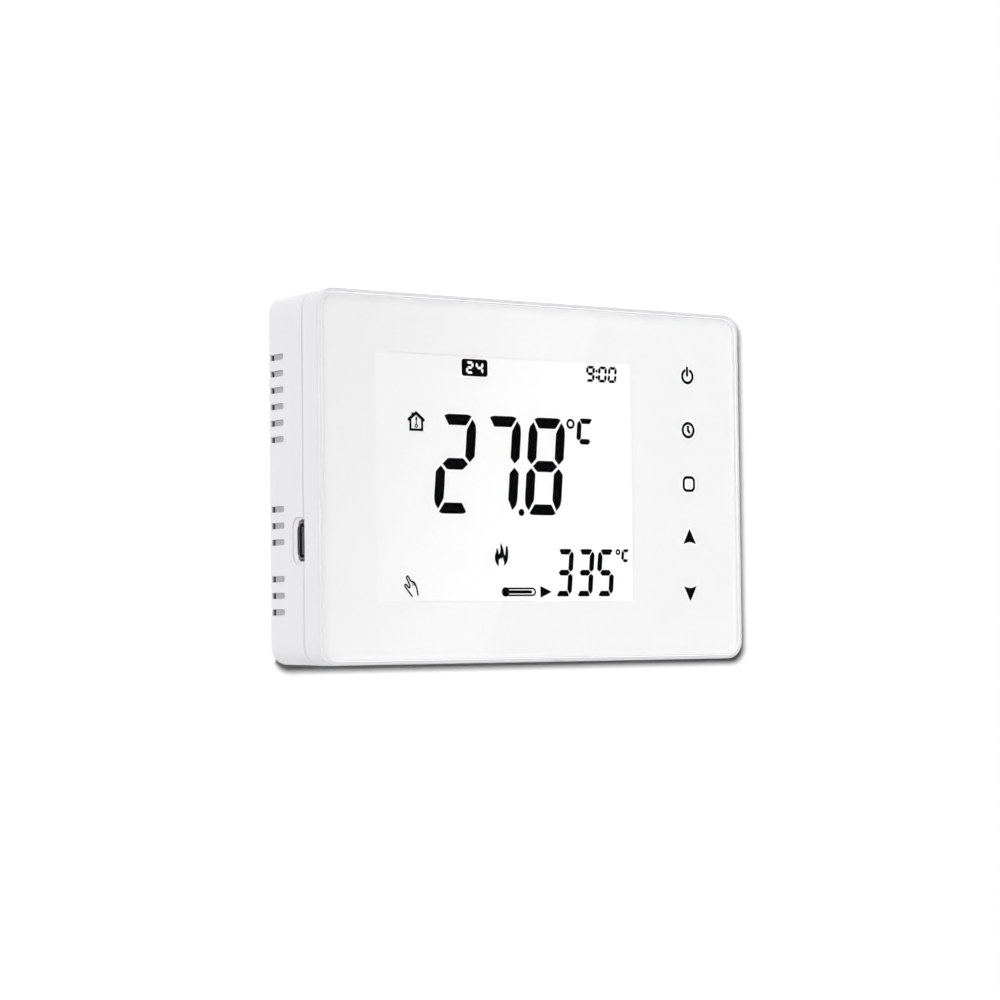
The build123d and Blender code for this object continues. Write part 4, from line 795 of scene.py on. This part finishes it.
class THERMOSTAT_OT_electronics(bpy.types.Operator):
    """Finish the circuit boards and the parts on them"""
    bl_idname = "thermostat.electronics"
    bl_label = "Electronics"

    def execute(self, context):
        dress(self.circuit_board(), "main_board", "radio_board")
        dress(self.chip(), "microcontroller", "voltage_regulator")
        dress(self.resistor(), "chip_resistors")
        dress(moulded_plastic("black_moulding", (0.018, 0.018, 0.019), 0.0004), "buzzer", "coin_cell_holder")
        dress(self.tongue(), "usb_tongue")
        dress(brushed_metal("bright_metal", (0.72, 0.72, 0.72)), "radio_shield", "clock_crystal")
        dress(self.socket_shell(), "usb_shell")
        dress(brushed_metal("spring_metal", (0.7, 0.68, 0.64), 0.3), "cell_clip", "antenna")
        dress(self.turned_cell(), "coin_cell")
        resin = mottled("sensor_resin", (0.035, 0.02, 0.015), (0.08, 0.05, 0.04), 0.0012, 3.0, (0.25, 0.1),
                        Coat_Weight=0.3)
        dress(resin, "temperature_sensor")
        dress(self.capacitor(), "capacitors")
        return {"FINISHED"}

    def circuit_board(self):
        """Green lacquer over copper tracks: the board is divided into fields, and each field has tracks along
        X or along Z, or none, picked by its random number. Small tinned holes lie on a grid."""
        finish = Finish("board_laminate")
        field = finish.cells(0.009, "Color", distance="CHEBYCHEV")
        pick = finish.add("ShaderNodeSeparateColor", sockets={0: field})
        along_x, along_z = (axis.wave(0.9 * MM) < 0.45 for axis in (finish.z, finish.x))
        tracks = along_x * (pick < 0.38) + along_z * (pick > 0.7)
        holes = spots(finish, 4.5 * MM) < 0.006
        lacquer = finish.mix(tracks, (0.012, 0.13, 0.055), (0.03, 0.23, 0.1))
        finish.paint_metal(holes, lacquer, (0.62, 0.58, 0.5), 0.28 + 0.08 * finish.noise(0.002))
        return finish.bump(tracks, 0.00003, 0.6)

    def chip(self):
        """Black resin with tinned legs, which lie along the two ends and just past them."""
        finish = Finish("chip_resin")
        (x, _, _), half = from_middle(finish, "microcontroller")
        leg = 1.4 * MM
        metal = abs(x).inside(half[0] - leg, half[0] + leg)
        fine = finish.noise(0.0003, detail=3.0)
        finish.paint_metal(metal, (0.02, 0.02, 0.022), (0.66, 0.65, 0.62), 0.5 - 0.2 * metal + 0.15 * fine)
        return finish.bump(fine, 0.00002, 0.5)

    def resistor(self):
        """Black bodies in a row, each between two tinned ends."""
        finish = Finish("chip_resistor")
        chip, end, pitch = 1.6 * MM, 0.35 * MM, 3 * MM
        along = (finish.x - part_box("chip_resistors")[0][0]).wave(pitch)
        ends = (along < end / pitch) + (along > (chip - end) / pitch)
        return finish.paint_metal(
            ends, (0.02, 0.02, 0.021), (0.7, 0.69, 0.66), 0.35 + 0.15 * finish.noise(0.0004))

    def socket_shell(self):
        """Bright steel at the mouth, with painted shade further in."""
        finish = Finish("socket_shell")
        mouth = finish.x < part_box("usb_shell")[0][0] + SOCKET_LIP
        return finish.paint_metal(mouth, grey(0.012), (0.13, 0.115, 0.11), 0.35 + 0.15 * finish.noise(0.0006))

    def tongue(self):
        """Black tongue with a painted highlight on its tip and, past the tip, gilt contacts 0.5 mm apart."""
        finish = Finish("socket_tongue")
        (x, _, z), half = from_middle(finish, "usb_tongue")
        rows = (abs(z).wave(0.5 * MM) < 0.5) * (abs(z) < half[2] * 0.84)
        contacts = rows * (x > 1.2 * MM - half[0])
        plain = finish.mix(x < 0.05 * MM - half[0], grey(0.012), (0.05, 0.05, 0.052))
        return finish.paint_metal(contacts, plain, (0.75, 0.55, 0.2), 0.5 + 0.1 * finish.noise(0.0005))

    def turned_cell(self):
        """Polished steel with turned rings: the tone varies with the distance from the cell's middle."""
        finish = Finish("cell_steel", Metallic=1.0)
        (x, _, z), _ = from_middle(finish, "coin_cell")
        rings = abs(((x**2 + z**2) ** 0.5).wave(0.2 * MM) - 0.5)
        finish.paint(rings, (0.66, 0.66, 0.68), (0.8, 0.8, 0.81)).bump(rings, 0.000008, 0.4)
        return finish.drive(Roughness=0.22 + 0.15 * finish.noise(0.003))

    def capacitor(self):
        """Aluminium cans on black bases: the millimetre next to the board is black plastic."""
        finish = Finish("capacitor_can")
        can = finish.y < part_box("capacitors")[1][1] - 1 * MM
        fine = finish.noise(0.0008, detail=3.0)
        return finish.paint_metal(can, grey(0.02), (0.72, 0.73, 0.75), 0.3 + 0.15 * fine)


class THERMOSTAT_OT_fasteners(bpy.types.Operator):
    """Finish the screws in bright zinc"""
    bl_idname = "thermostat.fasteners"
    bl_label = "Fasteners"

    def execute(self, context):
        zinc = mottled("zinc_screw", (0.5, 0.53, 0.58), (0.74, 0.72, 0.66), 0.0015, 4.0, (0.25, 0.25),
                       Metallic=1.0)
        dress(zinc, "housing_screws", "board_screws")
        return {"FINISHED"}


# Symbols on the keys and the display
# -----------------------------------


class THERMOSTAT_OT_key_symbols(bpy.types.Operator):
    """Print the five key symbols behind the glass, each with a thin white edge"""
    bl_idname = "thermostat.key_symbols"
    bl_label = "Key symbols"

    def execute(self, context):
        settings = context.scene.thermostat_panel
        ink = printed_ink("key_ink", settings.symbol_colour)
        white = white_ink_painted_light("key_edge", settings.rim_colour)
        radius = (settings.symbol - settings.line) / 2
        makers = {
            "key_power": self.power, "key_clock": self.clock, "key_mode": self.square,
            "key_up": self.arrow_up, "key_down": self.arrow_down,
        }
        for number, (name, maker) in enumerate(makers.items()):
            lines, plates = maker(np.array([KEY_X, KEY_TOP - number * KEY_PITCH]), radius)
            for suffix, growth, layer, finish in (("_edge", settings.rim, 1, white), ("", 0.0, 2, ink)):
                face = PRINT_FACE - layer * LAYER
                width = settings.line + 2 * growth
                solids = [stroke(path, width, face, closed) for path, closed in lines]
                solids += [plate(grown(outline, growth), face) for outline in plates]
                make_piece(name + suffix, solids, finish)
        return {"FINISHED"}

    def power(self, centre, radius):
        """A ring open at the top, with a stem through the opening."""
        opening = math.radians(33)
        ring = arc(centre, radius, math.pi / 2 + opening, math.pi * 2.5 - opening, 40)
        stem = centre + np.array([(-0.05, 1.3), (-0.05, 0.15)]) * radius
        return [(ring, False), (stem, False)], []

    def clock(self, centre, radius):
        """A ring with two hands."""
        centre = centre + (0, radius * 0.06)
        hands = centre + np.array([(-0.02, 0.5), (-0.02, -0.04), (0.22, -0.3)]) * radius
        return [(arc(centre, radius * 1.05), True), (hands, False)], []

    def square(self, centre, radius):
        """A square with round corners."""
        side = radius * 2
        return [(round_box(centre + (0, radius * 0.12), (side, side), side * 0.3), True)], []

    def arrow_up(self, centre, radius):
        """A point with straight sides above a hollow base."""
        base = smooth([(1.24, -0.74), (0, -0.44), (-1.24, -0.74)], 8)
        return [], [centre + np.concatenate([base, [(-0.05, 1.51), (0.05, 1.51)]]) * radius]

    def arrow_down(self, centre, radius):
        """The upward arrow turned over, a little above the middle of its key."""
        outline = self.arrow_up(np.zeros(2), radius)[1][0]
        return [], [centre + (0, radius * 0.42) + outline * (1, -1)]


# Corner, size, corner of the unit and size of the unit, in millimetres. A corner is counted from the window's,
# and a size is a digit's width and height, the width of its bars and the pitch.
ROOM_READING = [(16.4, 21.5), (11.35, 24.5, 2.58, 13.65), (59.75, 34.45), (5.45, 11.8, 1.3, 5.5)]
SET_READING = [(52.74, 1.2), (5.45, 11.95, 1.34, 6.55), (73.9, 7.35), (2.7, 5.85, 0.74, 2.7)]


class THERMOSTAT_OT_readings(bpy.types.Operator):
    """Set the room temperature, the clock, the set temperature and the day on the display"""
    bl_idname = "thermostat.readings"
    bl_label = "Readings"

    def execute(self, context):
        settings = context.scene.thermostat_display
        ink = printed_ink("display_ink", settings.ink_colour)
        white = white_ink_painted_light("display_edge", settings.edge_colour)
        room = self.temperature(settings.room_reading, *ROOM_READING, settings.slant, 1.0)
        wanted = self.temperature(settings.set_reading, *SET_READING, settings.slant, TAPER)
        self.edged("room_reading", room, settings, ink, white)
        self.edged("set_reading", wanted, settings, ink, white)
        self.edged("clock_reading", self.clock_reading(settings), settings, ink, white)
        make_piece("degree_rings", self.degree_rings(), ink)
        self.day_badge(settings, ink, white)
        return {"FINISHED"}

    def edged(self, name, outlines, settings, ink, white):
        """A piece of dark plates, and one of white plates, wider by the edge and a layer behind."""
        make_piece(name, [plate(outline) for outline in outlines], ink)
        edges = [plate(grown(outline, settings.edge), DISPLAY_FACE + LAYER) for outline in outlines]
        make_piece(name + "_edge", edges, white)

    def temperature(self, text, corner, size, unit_corner, unit_size, slant, taper):
        """A row of digits, and the unit's C beside it."""
        digits = digit_outlines(text, window_point(*corner), mm(*size), slant, taper)
        return digits + digit_outlines("C", window_point(*unit_corner), mm(*unit_size), slant)

    def clock_reading(self, settings):
        """Small digits at the upper right, with a colon."""
        size = mm(2.75, 4.1, 0.68, 3.17)
        hours = digit_outlines(settings.hours, window_point(63.45, 55.65), size, settings.slant)
        minutes = digit_outlines(settings.minutes, window_point(67.3, 55.65), size, settings.slant)
        return hours + minutes + [arc(window_point(67.0, z), 0.36 * MM, count=20) for z in (56.9, 58.5)]

    def degree_rings(self):
        """Rings before both units."""
        large = arc(window_point(58.5, 44.75), 0.99 * MM)
        small = arc(window_point(73.12, 12.45), 0.52 * MM, count=32)
        return [stroke(large, 0.62 * MM, closed=True), stroke(small, 0.5 * MM, closed=True)]

    def day_badge(self, settings, ink, white):
        """A dark round-cornered badge with the day in white."""
        centre = window_point(29.16, 57.64)
        self.edged("day_badge", [round_box(centre, mm(7.8, 4.25), 0.75 * MM)], settings, ink, white)
        width, height, bar, pitch = mm(2.25, 3.05, 0.58, 2.95)
        corner = centre - (pitch * len(settings.day) / 2 - (pitch - width) / 2, height / 2)
        outlines = digit_outlines(settings.day, corner, (width, height, bar, pitch), 0.0)
        make_piece("day_number", [plate(outline, DISPLAY_FACE - LAYER) for outline in outlines], white)


class THERMOSTAT_OT_pictograms(bpy.types.Operator):
    """Draw the house, the hand, the flame and the lying thermometer on the display"""
    bl_idname = "thermostat.pictograms"
    bl_label = "Pictograms"

    def execute(self, context):
        ink = printed_ink("pictogram_ink", context.scene.thermostat_display.ink_colour)
        make_piece("house_symbol", self.house(), ink)
        make_piece("hand_symbol", self.hand(), ink)
        make_piece("flame_symbol", self.flame(), ink)
        make_piece("thermometer_symbol", self.thermometer(), ink)
        return {"FINISHED"}

    def house(self):
        """A roof over three walls, with a chimney, and inside it a small thermometer with a dark top."""
        corner = window_point(9.6, 41.55)
        lines = [
            (0.78, (-0.05, 2.72), (2.05, 4.3), (4.2, 2.65)),
            (0.6, (0.38, 3.0), (0.38, 0.22), (3.8, 0.22), (3.8, 3.0)),
            (0.5, (0.98, 3.7), (0.98, 4.25)),
            (0.3, (2.12, 3.2), (2.12, 1.6)),
            (0.5, (2.12, 3.2), (2.12, 2.75)),
        ]
        bulb = arc(corner + mm(2.12, 1.17), 0.34 * MM, count=24)
        strokes = [stroke(corner + mm(*points), width * MM) for width, *points in lines]
        return [*strokes, stroke(bulb, 0.28 * MM, closed=True)]

    def hand(self):
        """The outline of a hand with a raised finger, drawn in one line from wrist to wrist, and two
        knuckles."""
        points = [
            (1.91, 0.21), (1.43, 0.72), (0.81, 1.44), (0.19, 2.16), (-0.17, 2.72), (-0.06, 3.0), (0.3, 2.97),
            (0.64, 2.53), (1.07, 2.25), (1.26, 2.44), (1.18, 2.95), (0.81, 3.74), (0.42, 4.44), (0.33, 4.86),
            (0.59, 5.04), (0.9, 4.81), (1.21, 4.3), (1.54, 3.9), (2.05, 3.7), (2.56, 3.49), (2.92, 2.95),
            (3.23, 2.14), (3.46, 1.32), (3.6, 0.5),
        ]
        knuckles = [mm((2.05, 3.6), (2.2, 3.2), (2.08, 2.75)), mm((2.5, 3.3), (2.62, 2.8))]
        corner = window_point(8.1, 1.15)
        line = stroke(corner + smooth(points, 4) * MM, 0.4 * MM)
        return [line, *(stroke(corner + knuckle, 0.2 * MM) for knuckle in knuckles)]

    def flame(self):
        """Three tongues over a hollow middle."""
        points = [
            (1.1, -0.05), (0.62, 0.38), (0.23, 1.09), (0.08, 1.85), (0.2, 2.56), (0.5, 3.25), (0.62, 3.95),
            (0.98, 3.65), (1.1, 3.07), (1.28, 2.56), (1.58, 2.99), (1.79, 3.76), (1.76, 4.44), (1.88, 5.15),
            (2.3, 4.34), (2.63, 3.5), (2.81, 2.61), (3.08, 2.36), (3.29, 3.25), (3.41, 4.34), (3.74, 4.55),
            (3.95, 3.76), (3.98, 2.49), (3.8, 1.35), (3.38, 0.58), (2.72, 0.05), (2.84, 0.71), (2.6, 1.4),
            (2.3, 2.01), (2.03, 1.52), (1.79, 1.9), (1.52, 1.4), (1.28, 1.62), (1.13, 0.89),
        ]
        outline = window_point(34.6, 8.85) + smooth(points, 4, True) * mm(1.02, 1.07)
        return [plate(grown(outline, 0.04 * MM))]

    def thermometer(self):
        """A thermometer lying on its side, and an arrowhead towards the set value."""
        corner = window_point(36.6, 1.2)
        outline = corner + round_box((5.7, 1.15), (9.2, 1.7), 0.85) * MM
        column = corner + mm((1.2, 1.15), (8.9, 1.15))
        bulb = arc(column[0], 1.18 * MM, count=32)
        arrow = corner + mm((11.9, -0.35), (15.4, 1.15), (11.9, 2.65))
        return [stroke(outline, 0.42 * MM, closed=True), stroke(column, 0.8 * MM), plate(bulb), plate(arrow)]


# Stage
# -----

CAMERA_PLACE = (-0.41573, -0.59003, -0.03718)
CAMERA_TURN = math.radians(35.43)       # to the right of straight at the wall
CAMERA_TILT = math.radians(2.66)        # above level
CAMERA_ROLL = math.radians(-0.65)
CAMERA_LENS = 101.44                    # millimetres on a 36 mm sensor
SENSOR = 36                             # millimetres
FLOOR = -0.7
ROOM = 2.0                              # how far the wall and the floor reach
HIDDEN_FADE = 0.4 * MM, 1.6 * MM        # inside the casing's side, where the wall's painted shadow begins
HIDDEN_END = 8 * MM                     # from the casing's top and bottom to the painted shadow
HIDDEN_SHARE = 0.08                     # of the wall's colour in its painted shadow

SOFT_SPREAD = 90                        # degrees that a soft lamp covers in the sky
# Name, share of the strength, degrees to the left of the front, degrees above level, and how often its light
# is passed on from surface to surface
SOFT_LAMPS = [
    ("key_lamp", 0.41, 30, 10, 4),
    ("low_left_lamp", 0.49, 55, -35, 0),
    ("low_right_lamp", 0.335, -35, -25, 0),
    ("top_lamp", 0.45, 0, 80, 4),
    ("rear_left_lamp", 0.335, 130, 15, 0),
    ("rear_right_lamp", 0.65, -130, 10, 0),
]
# Name; left, right, lower and upper end and the depth of a sheet of the wall; and of its lamp the degrees to
# the left and up, and the spread
WALL_SHEETS = [
    ("wall_left", (-ROOM, 0.0, -ROOM, ROOM), 0.3 * MM, (3.0, 4.38, 5.1)),
    ("wall_right", (0.0, ROOM, -ROOM, ROOM), 0.3 * MM, (41.5, 3.28, 3.85)),
    ("wall_upper", (0.06, ROOM, 0.0, ROOM), 0.25 * MM, (41.5, -4.0, 3.85)),
    ("wall_strip", (-0.08, -0.0632, -0.044, 0.05), 0.25 * MM, (50, 5, 6)),
    ("wall_corner", (-0.0632, -0.0602, 0.038, 0.05), 0.25 * MM, (50, 35, 6)),
]


class THERMOSTAT_OT_stage(bpy.types.Operator):
    """Make the wall, the floor, the lamps and the camera"""
    bl_idname = "thermostat.stage"
    bl_label = "Stage"

    def execute(self, context):
        settings = context.scene.thermostat_stage
        context.scene.view_settings.view_transform = "Standard"
        paint = self.wall_paint(settings.wall_colour)
        walls = []
        for name, (left, right, low, high), depth, _ in WALL_SHEETS:
            corners = [(left, depth, high), (right, depth, high), (right, depth, low), (left, depth, low)]
            walls.append(self.sheet("studio_" + name, corners, paint))
        corners = [(-ROOM, -ROOM, FLOOR), (ROOM, -ROOM, FLOOR), (ROOM, 0, FLOOR), (-ROOM, 0, FLOOR)]
        floor = self.sheet("studio_floor", corners, self.floor_paint(settings.wall_colour))
        self.world(settings.fill_strength)
        self.lamps(settings, walls)
        self.camera(context.scene)
        return {"FINISHED"}

    def sheet(self, name, corners, paint):
        """A flat sheet that throws no light back at the object."""
        mesh = bpy.data.meshes.new(name)
        mesh.from_pydata(corners, [], [(3, 2, 1, 0)])
        mesh.materials.append(paint.material)
        sheet = bpy.data.objects.new(name, mesh)
        bpy.context.scene.collection.objects.link(sheet)
        for ray in ("diffuse", "glossy", "transmission", "shadow"):
            setattr(sheet, "visible_" + ray, False)
        return sheet

    def pale(self, name, colour):
        """Dull paint and its tone, which varies slowly by one part in fifty."""
        finish = Finish(name, Roughness=1.0, Specular_IOR_Level=0.0)
        return finish, finish.mix(finish.noise(0.4), colour, shade(colour, 1.02))

    def wall_paint(self, colour):
        """Pale paint that can't be seen from behind. It has a painted shadow behind the casing, where little
        light comes, which turns pale over the last millimetre inside the casing's outline."""
        finish, tone = self.pale("studio_wall", colour)
        _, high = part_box("rear_housing")
        painted_shadow = (high[0] - abs(finish.x)).between(*HIDDEN_FADE) * (abs(finish.z) < high[2] - HIDDEN_END)
        finish.paint(painted_shadow, tone, shade(colour, HIDDEN_SHARE))
        clear = finish.add("ShaderNodeBsdfTransparent")
        back = finish.add("ShaderNodeNewGeometry", output="Backfacing")
        return finish.surface(finish.blend_shaders(back, finish.painted(), clear))

    def floor_paint(self, colour):
        """Pale paint with a little light of its own."""
        finish, tone = self.pale("studio_floor", colour)
        return finish.drive(Base_Color=tone).shine(grey(0.3))

    def world(self, fill):
        """White for the camera and in mirrors, and a weak even light for the rest."""
        world = bpy.data.worlds.new("studio")
        world.use_nodes = True
        bpy.context.scene.world = world
        nodes = Nodes(world.node_tree)
        rays = [nodes.add("ShaderNodeLightPath", output=f"Is {kind} Ray")
                for kind in ("Camera", "Glossy", "Transmission")]
        white = rays[0].at_least(rays[1]).at_least(rays[2])
        background = nodes.tree.nodes["Background"].inputs
        nodes.join(background["Color"], rgba(grey(1.0)))
        nodes.join(background["Strength"], fill + (1 - fill) * white)

    def lamps(self, settings, walls):
        """Soft lamps round the object that leave the wall out, and for each sheet of the wall a lamp that
        lights nothing else. The light of the low and the rear lamps isn't passed on from the object to the
        wall, so that the shadow stays dark. A sheet's lamp is stronger the more it slants, so that all sheets
        are lit alike."""
        others = bpy.data.collections.new("all_but_wall")
        for wall in walls:
            others.objects.link(wall)
        for member in others.collection_objects:
            member.light_linking.link_state = "EXCLUDE"
        for name, share, left, up, bounces in SOFT_LAMPS:
            light = self.sun(name, settings.lamp_strength * share, SOFT_SPREAD, left, up, others)
            light.cycles.max_bounces = bounces
            light.cycles.use_multiple_importance_sampling = bounces > 0
        for wall, (name, _, _, (left, up, spread)) in zip(walls, WALL_SHEETS):
            alone = bpy.data.collections.new(name + "_only")
            alone.objects.link(wall)
            slant = math.cos(math.radians(left)) * math.cos(math.radians(up))
            self.sun(name + "_lamp", settings.wall_strength / slant, spread, left, up, alone)

    def sun(self, name, strength, spread, left, up, receivers):
        """A far lamp that shines on a collection from the left and from above by those angles, in degrees."""
        data = bpy.data.lights.new(name, "SUN")
        data.energy = strength
        data.angle = math.radians(spread)
        lamp = bpy.data.objects.new(name, data)
        bpy.context.scene.collection.objects.link(lamp)
        lamp.rotation_euler = (math.radians(90 - up), 0, -math.radians(left))
        lamp.light_linking.receiver_collection = receivers
        return data

    def camera(self, scene):
        """Looks at the object from the left, a little from below."""
        data = bpy.data.cameras.new("camera")
        data.lens = CAMERA_LENS
        data.sensor_width = SENSOR
        camera = bpy.data.objects.new("camera", data)
        scene.collection.objects.link(camera)
        turn = Matrix.Rotation(-CAMERA_TURN, 4, "Z")
        tilt = Matrix.Rotation(math.pi / 2 + CAMERA_TILT, 4, "X")
        roll = Matrix.Rotation(CAMERA_ROLL, 4, "Z")
        camera.matrix_world = Matrix.Translation(CAMERA_PLACE) @ turn @ tilt @ roll
        scene.camera = camera


class THERMOSTAT_PT_panel(bpy.types.Panel):
    """Buttons and settings of the thermostat"""
    bl_label = "Thermostat"
    bl_space_type = "VIEW_3D"
    bl_region_type = "UI"
    bl_category = "Thermostat"

    def draw(self, context):
        for operator in OPERATORS:
            self.layout.operator(operator.bl_idname)
        for name in SETTINGS:
            group = getattr(context.scene, name)
            for setting in group.__annotations__:
                self.layout.prop(group, setting)


OPERATORS = [
    THERMOSTAT_OT_case,
    THERMOSTAT_OT_panel,
    THERMOSTAT_OT_display,
    THERMOSTAT_OT_electronics,
    THERMOSTAT_OT_fasteners,
    THERMOSTAT_OT_key_symbols,
    THERMOSTAT_OT_readings,
    THERMOSTAT_OT_pictograms,
    THERMOSTAT_OT_stage,
]
SETTINGS = {
    "thermostat_case": CaseSettings,
    "thermostat_panel": PanelSettings,
    "thermostat_display": DisplaySettings,
    "thermostat_stage": StageSettings,
}


def register():
    for group in [*SETTINGS.values(), *OPERATORS, THERMOSTAT_PT_panel]:
        bpy.utils.register_class(group)
    for name, group in SETTINGS.items():
        setattr(bpy.types.Scene, name, bpy.props.PointerProperty(type=group))


def unregister():
    for name in SETTINGS:
        delattr(bpy.types.Scene, name)
    for group in reversed([*SETTINGS.values(), *OPERATORS, THERMOSTAT_PT_panel]):
        bpy.utils.unregister_class(group)


def main():
    register()
    for operator in OPERATORS:
        family, action = operator.bl_idname.split(".")
        getattr(getattr(bpy.ops, family), action)()


if __name__ == "__main__":
    main()
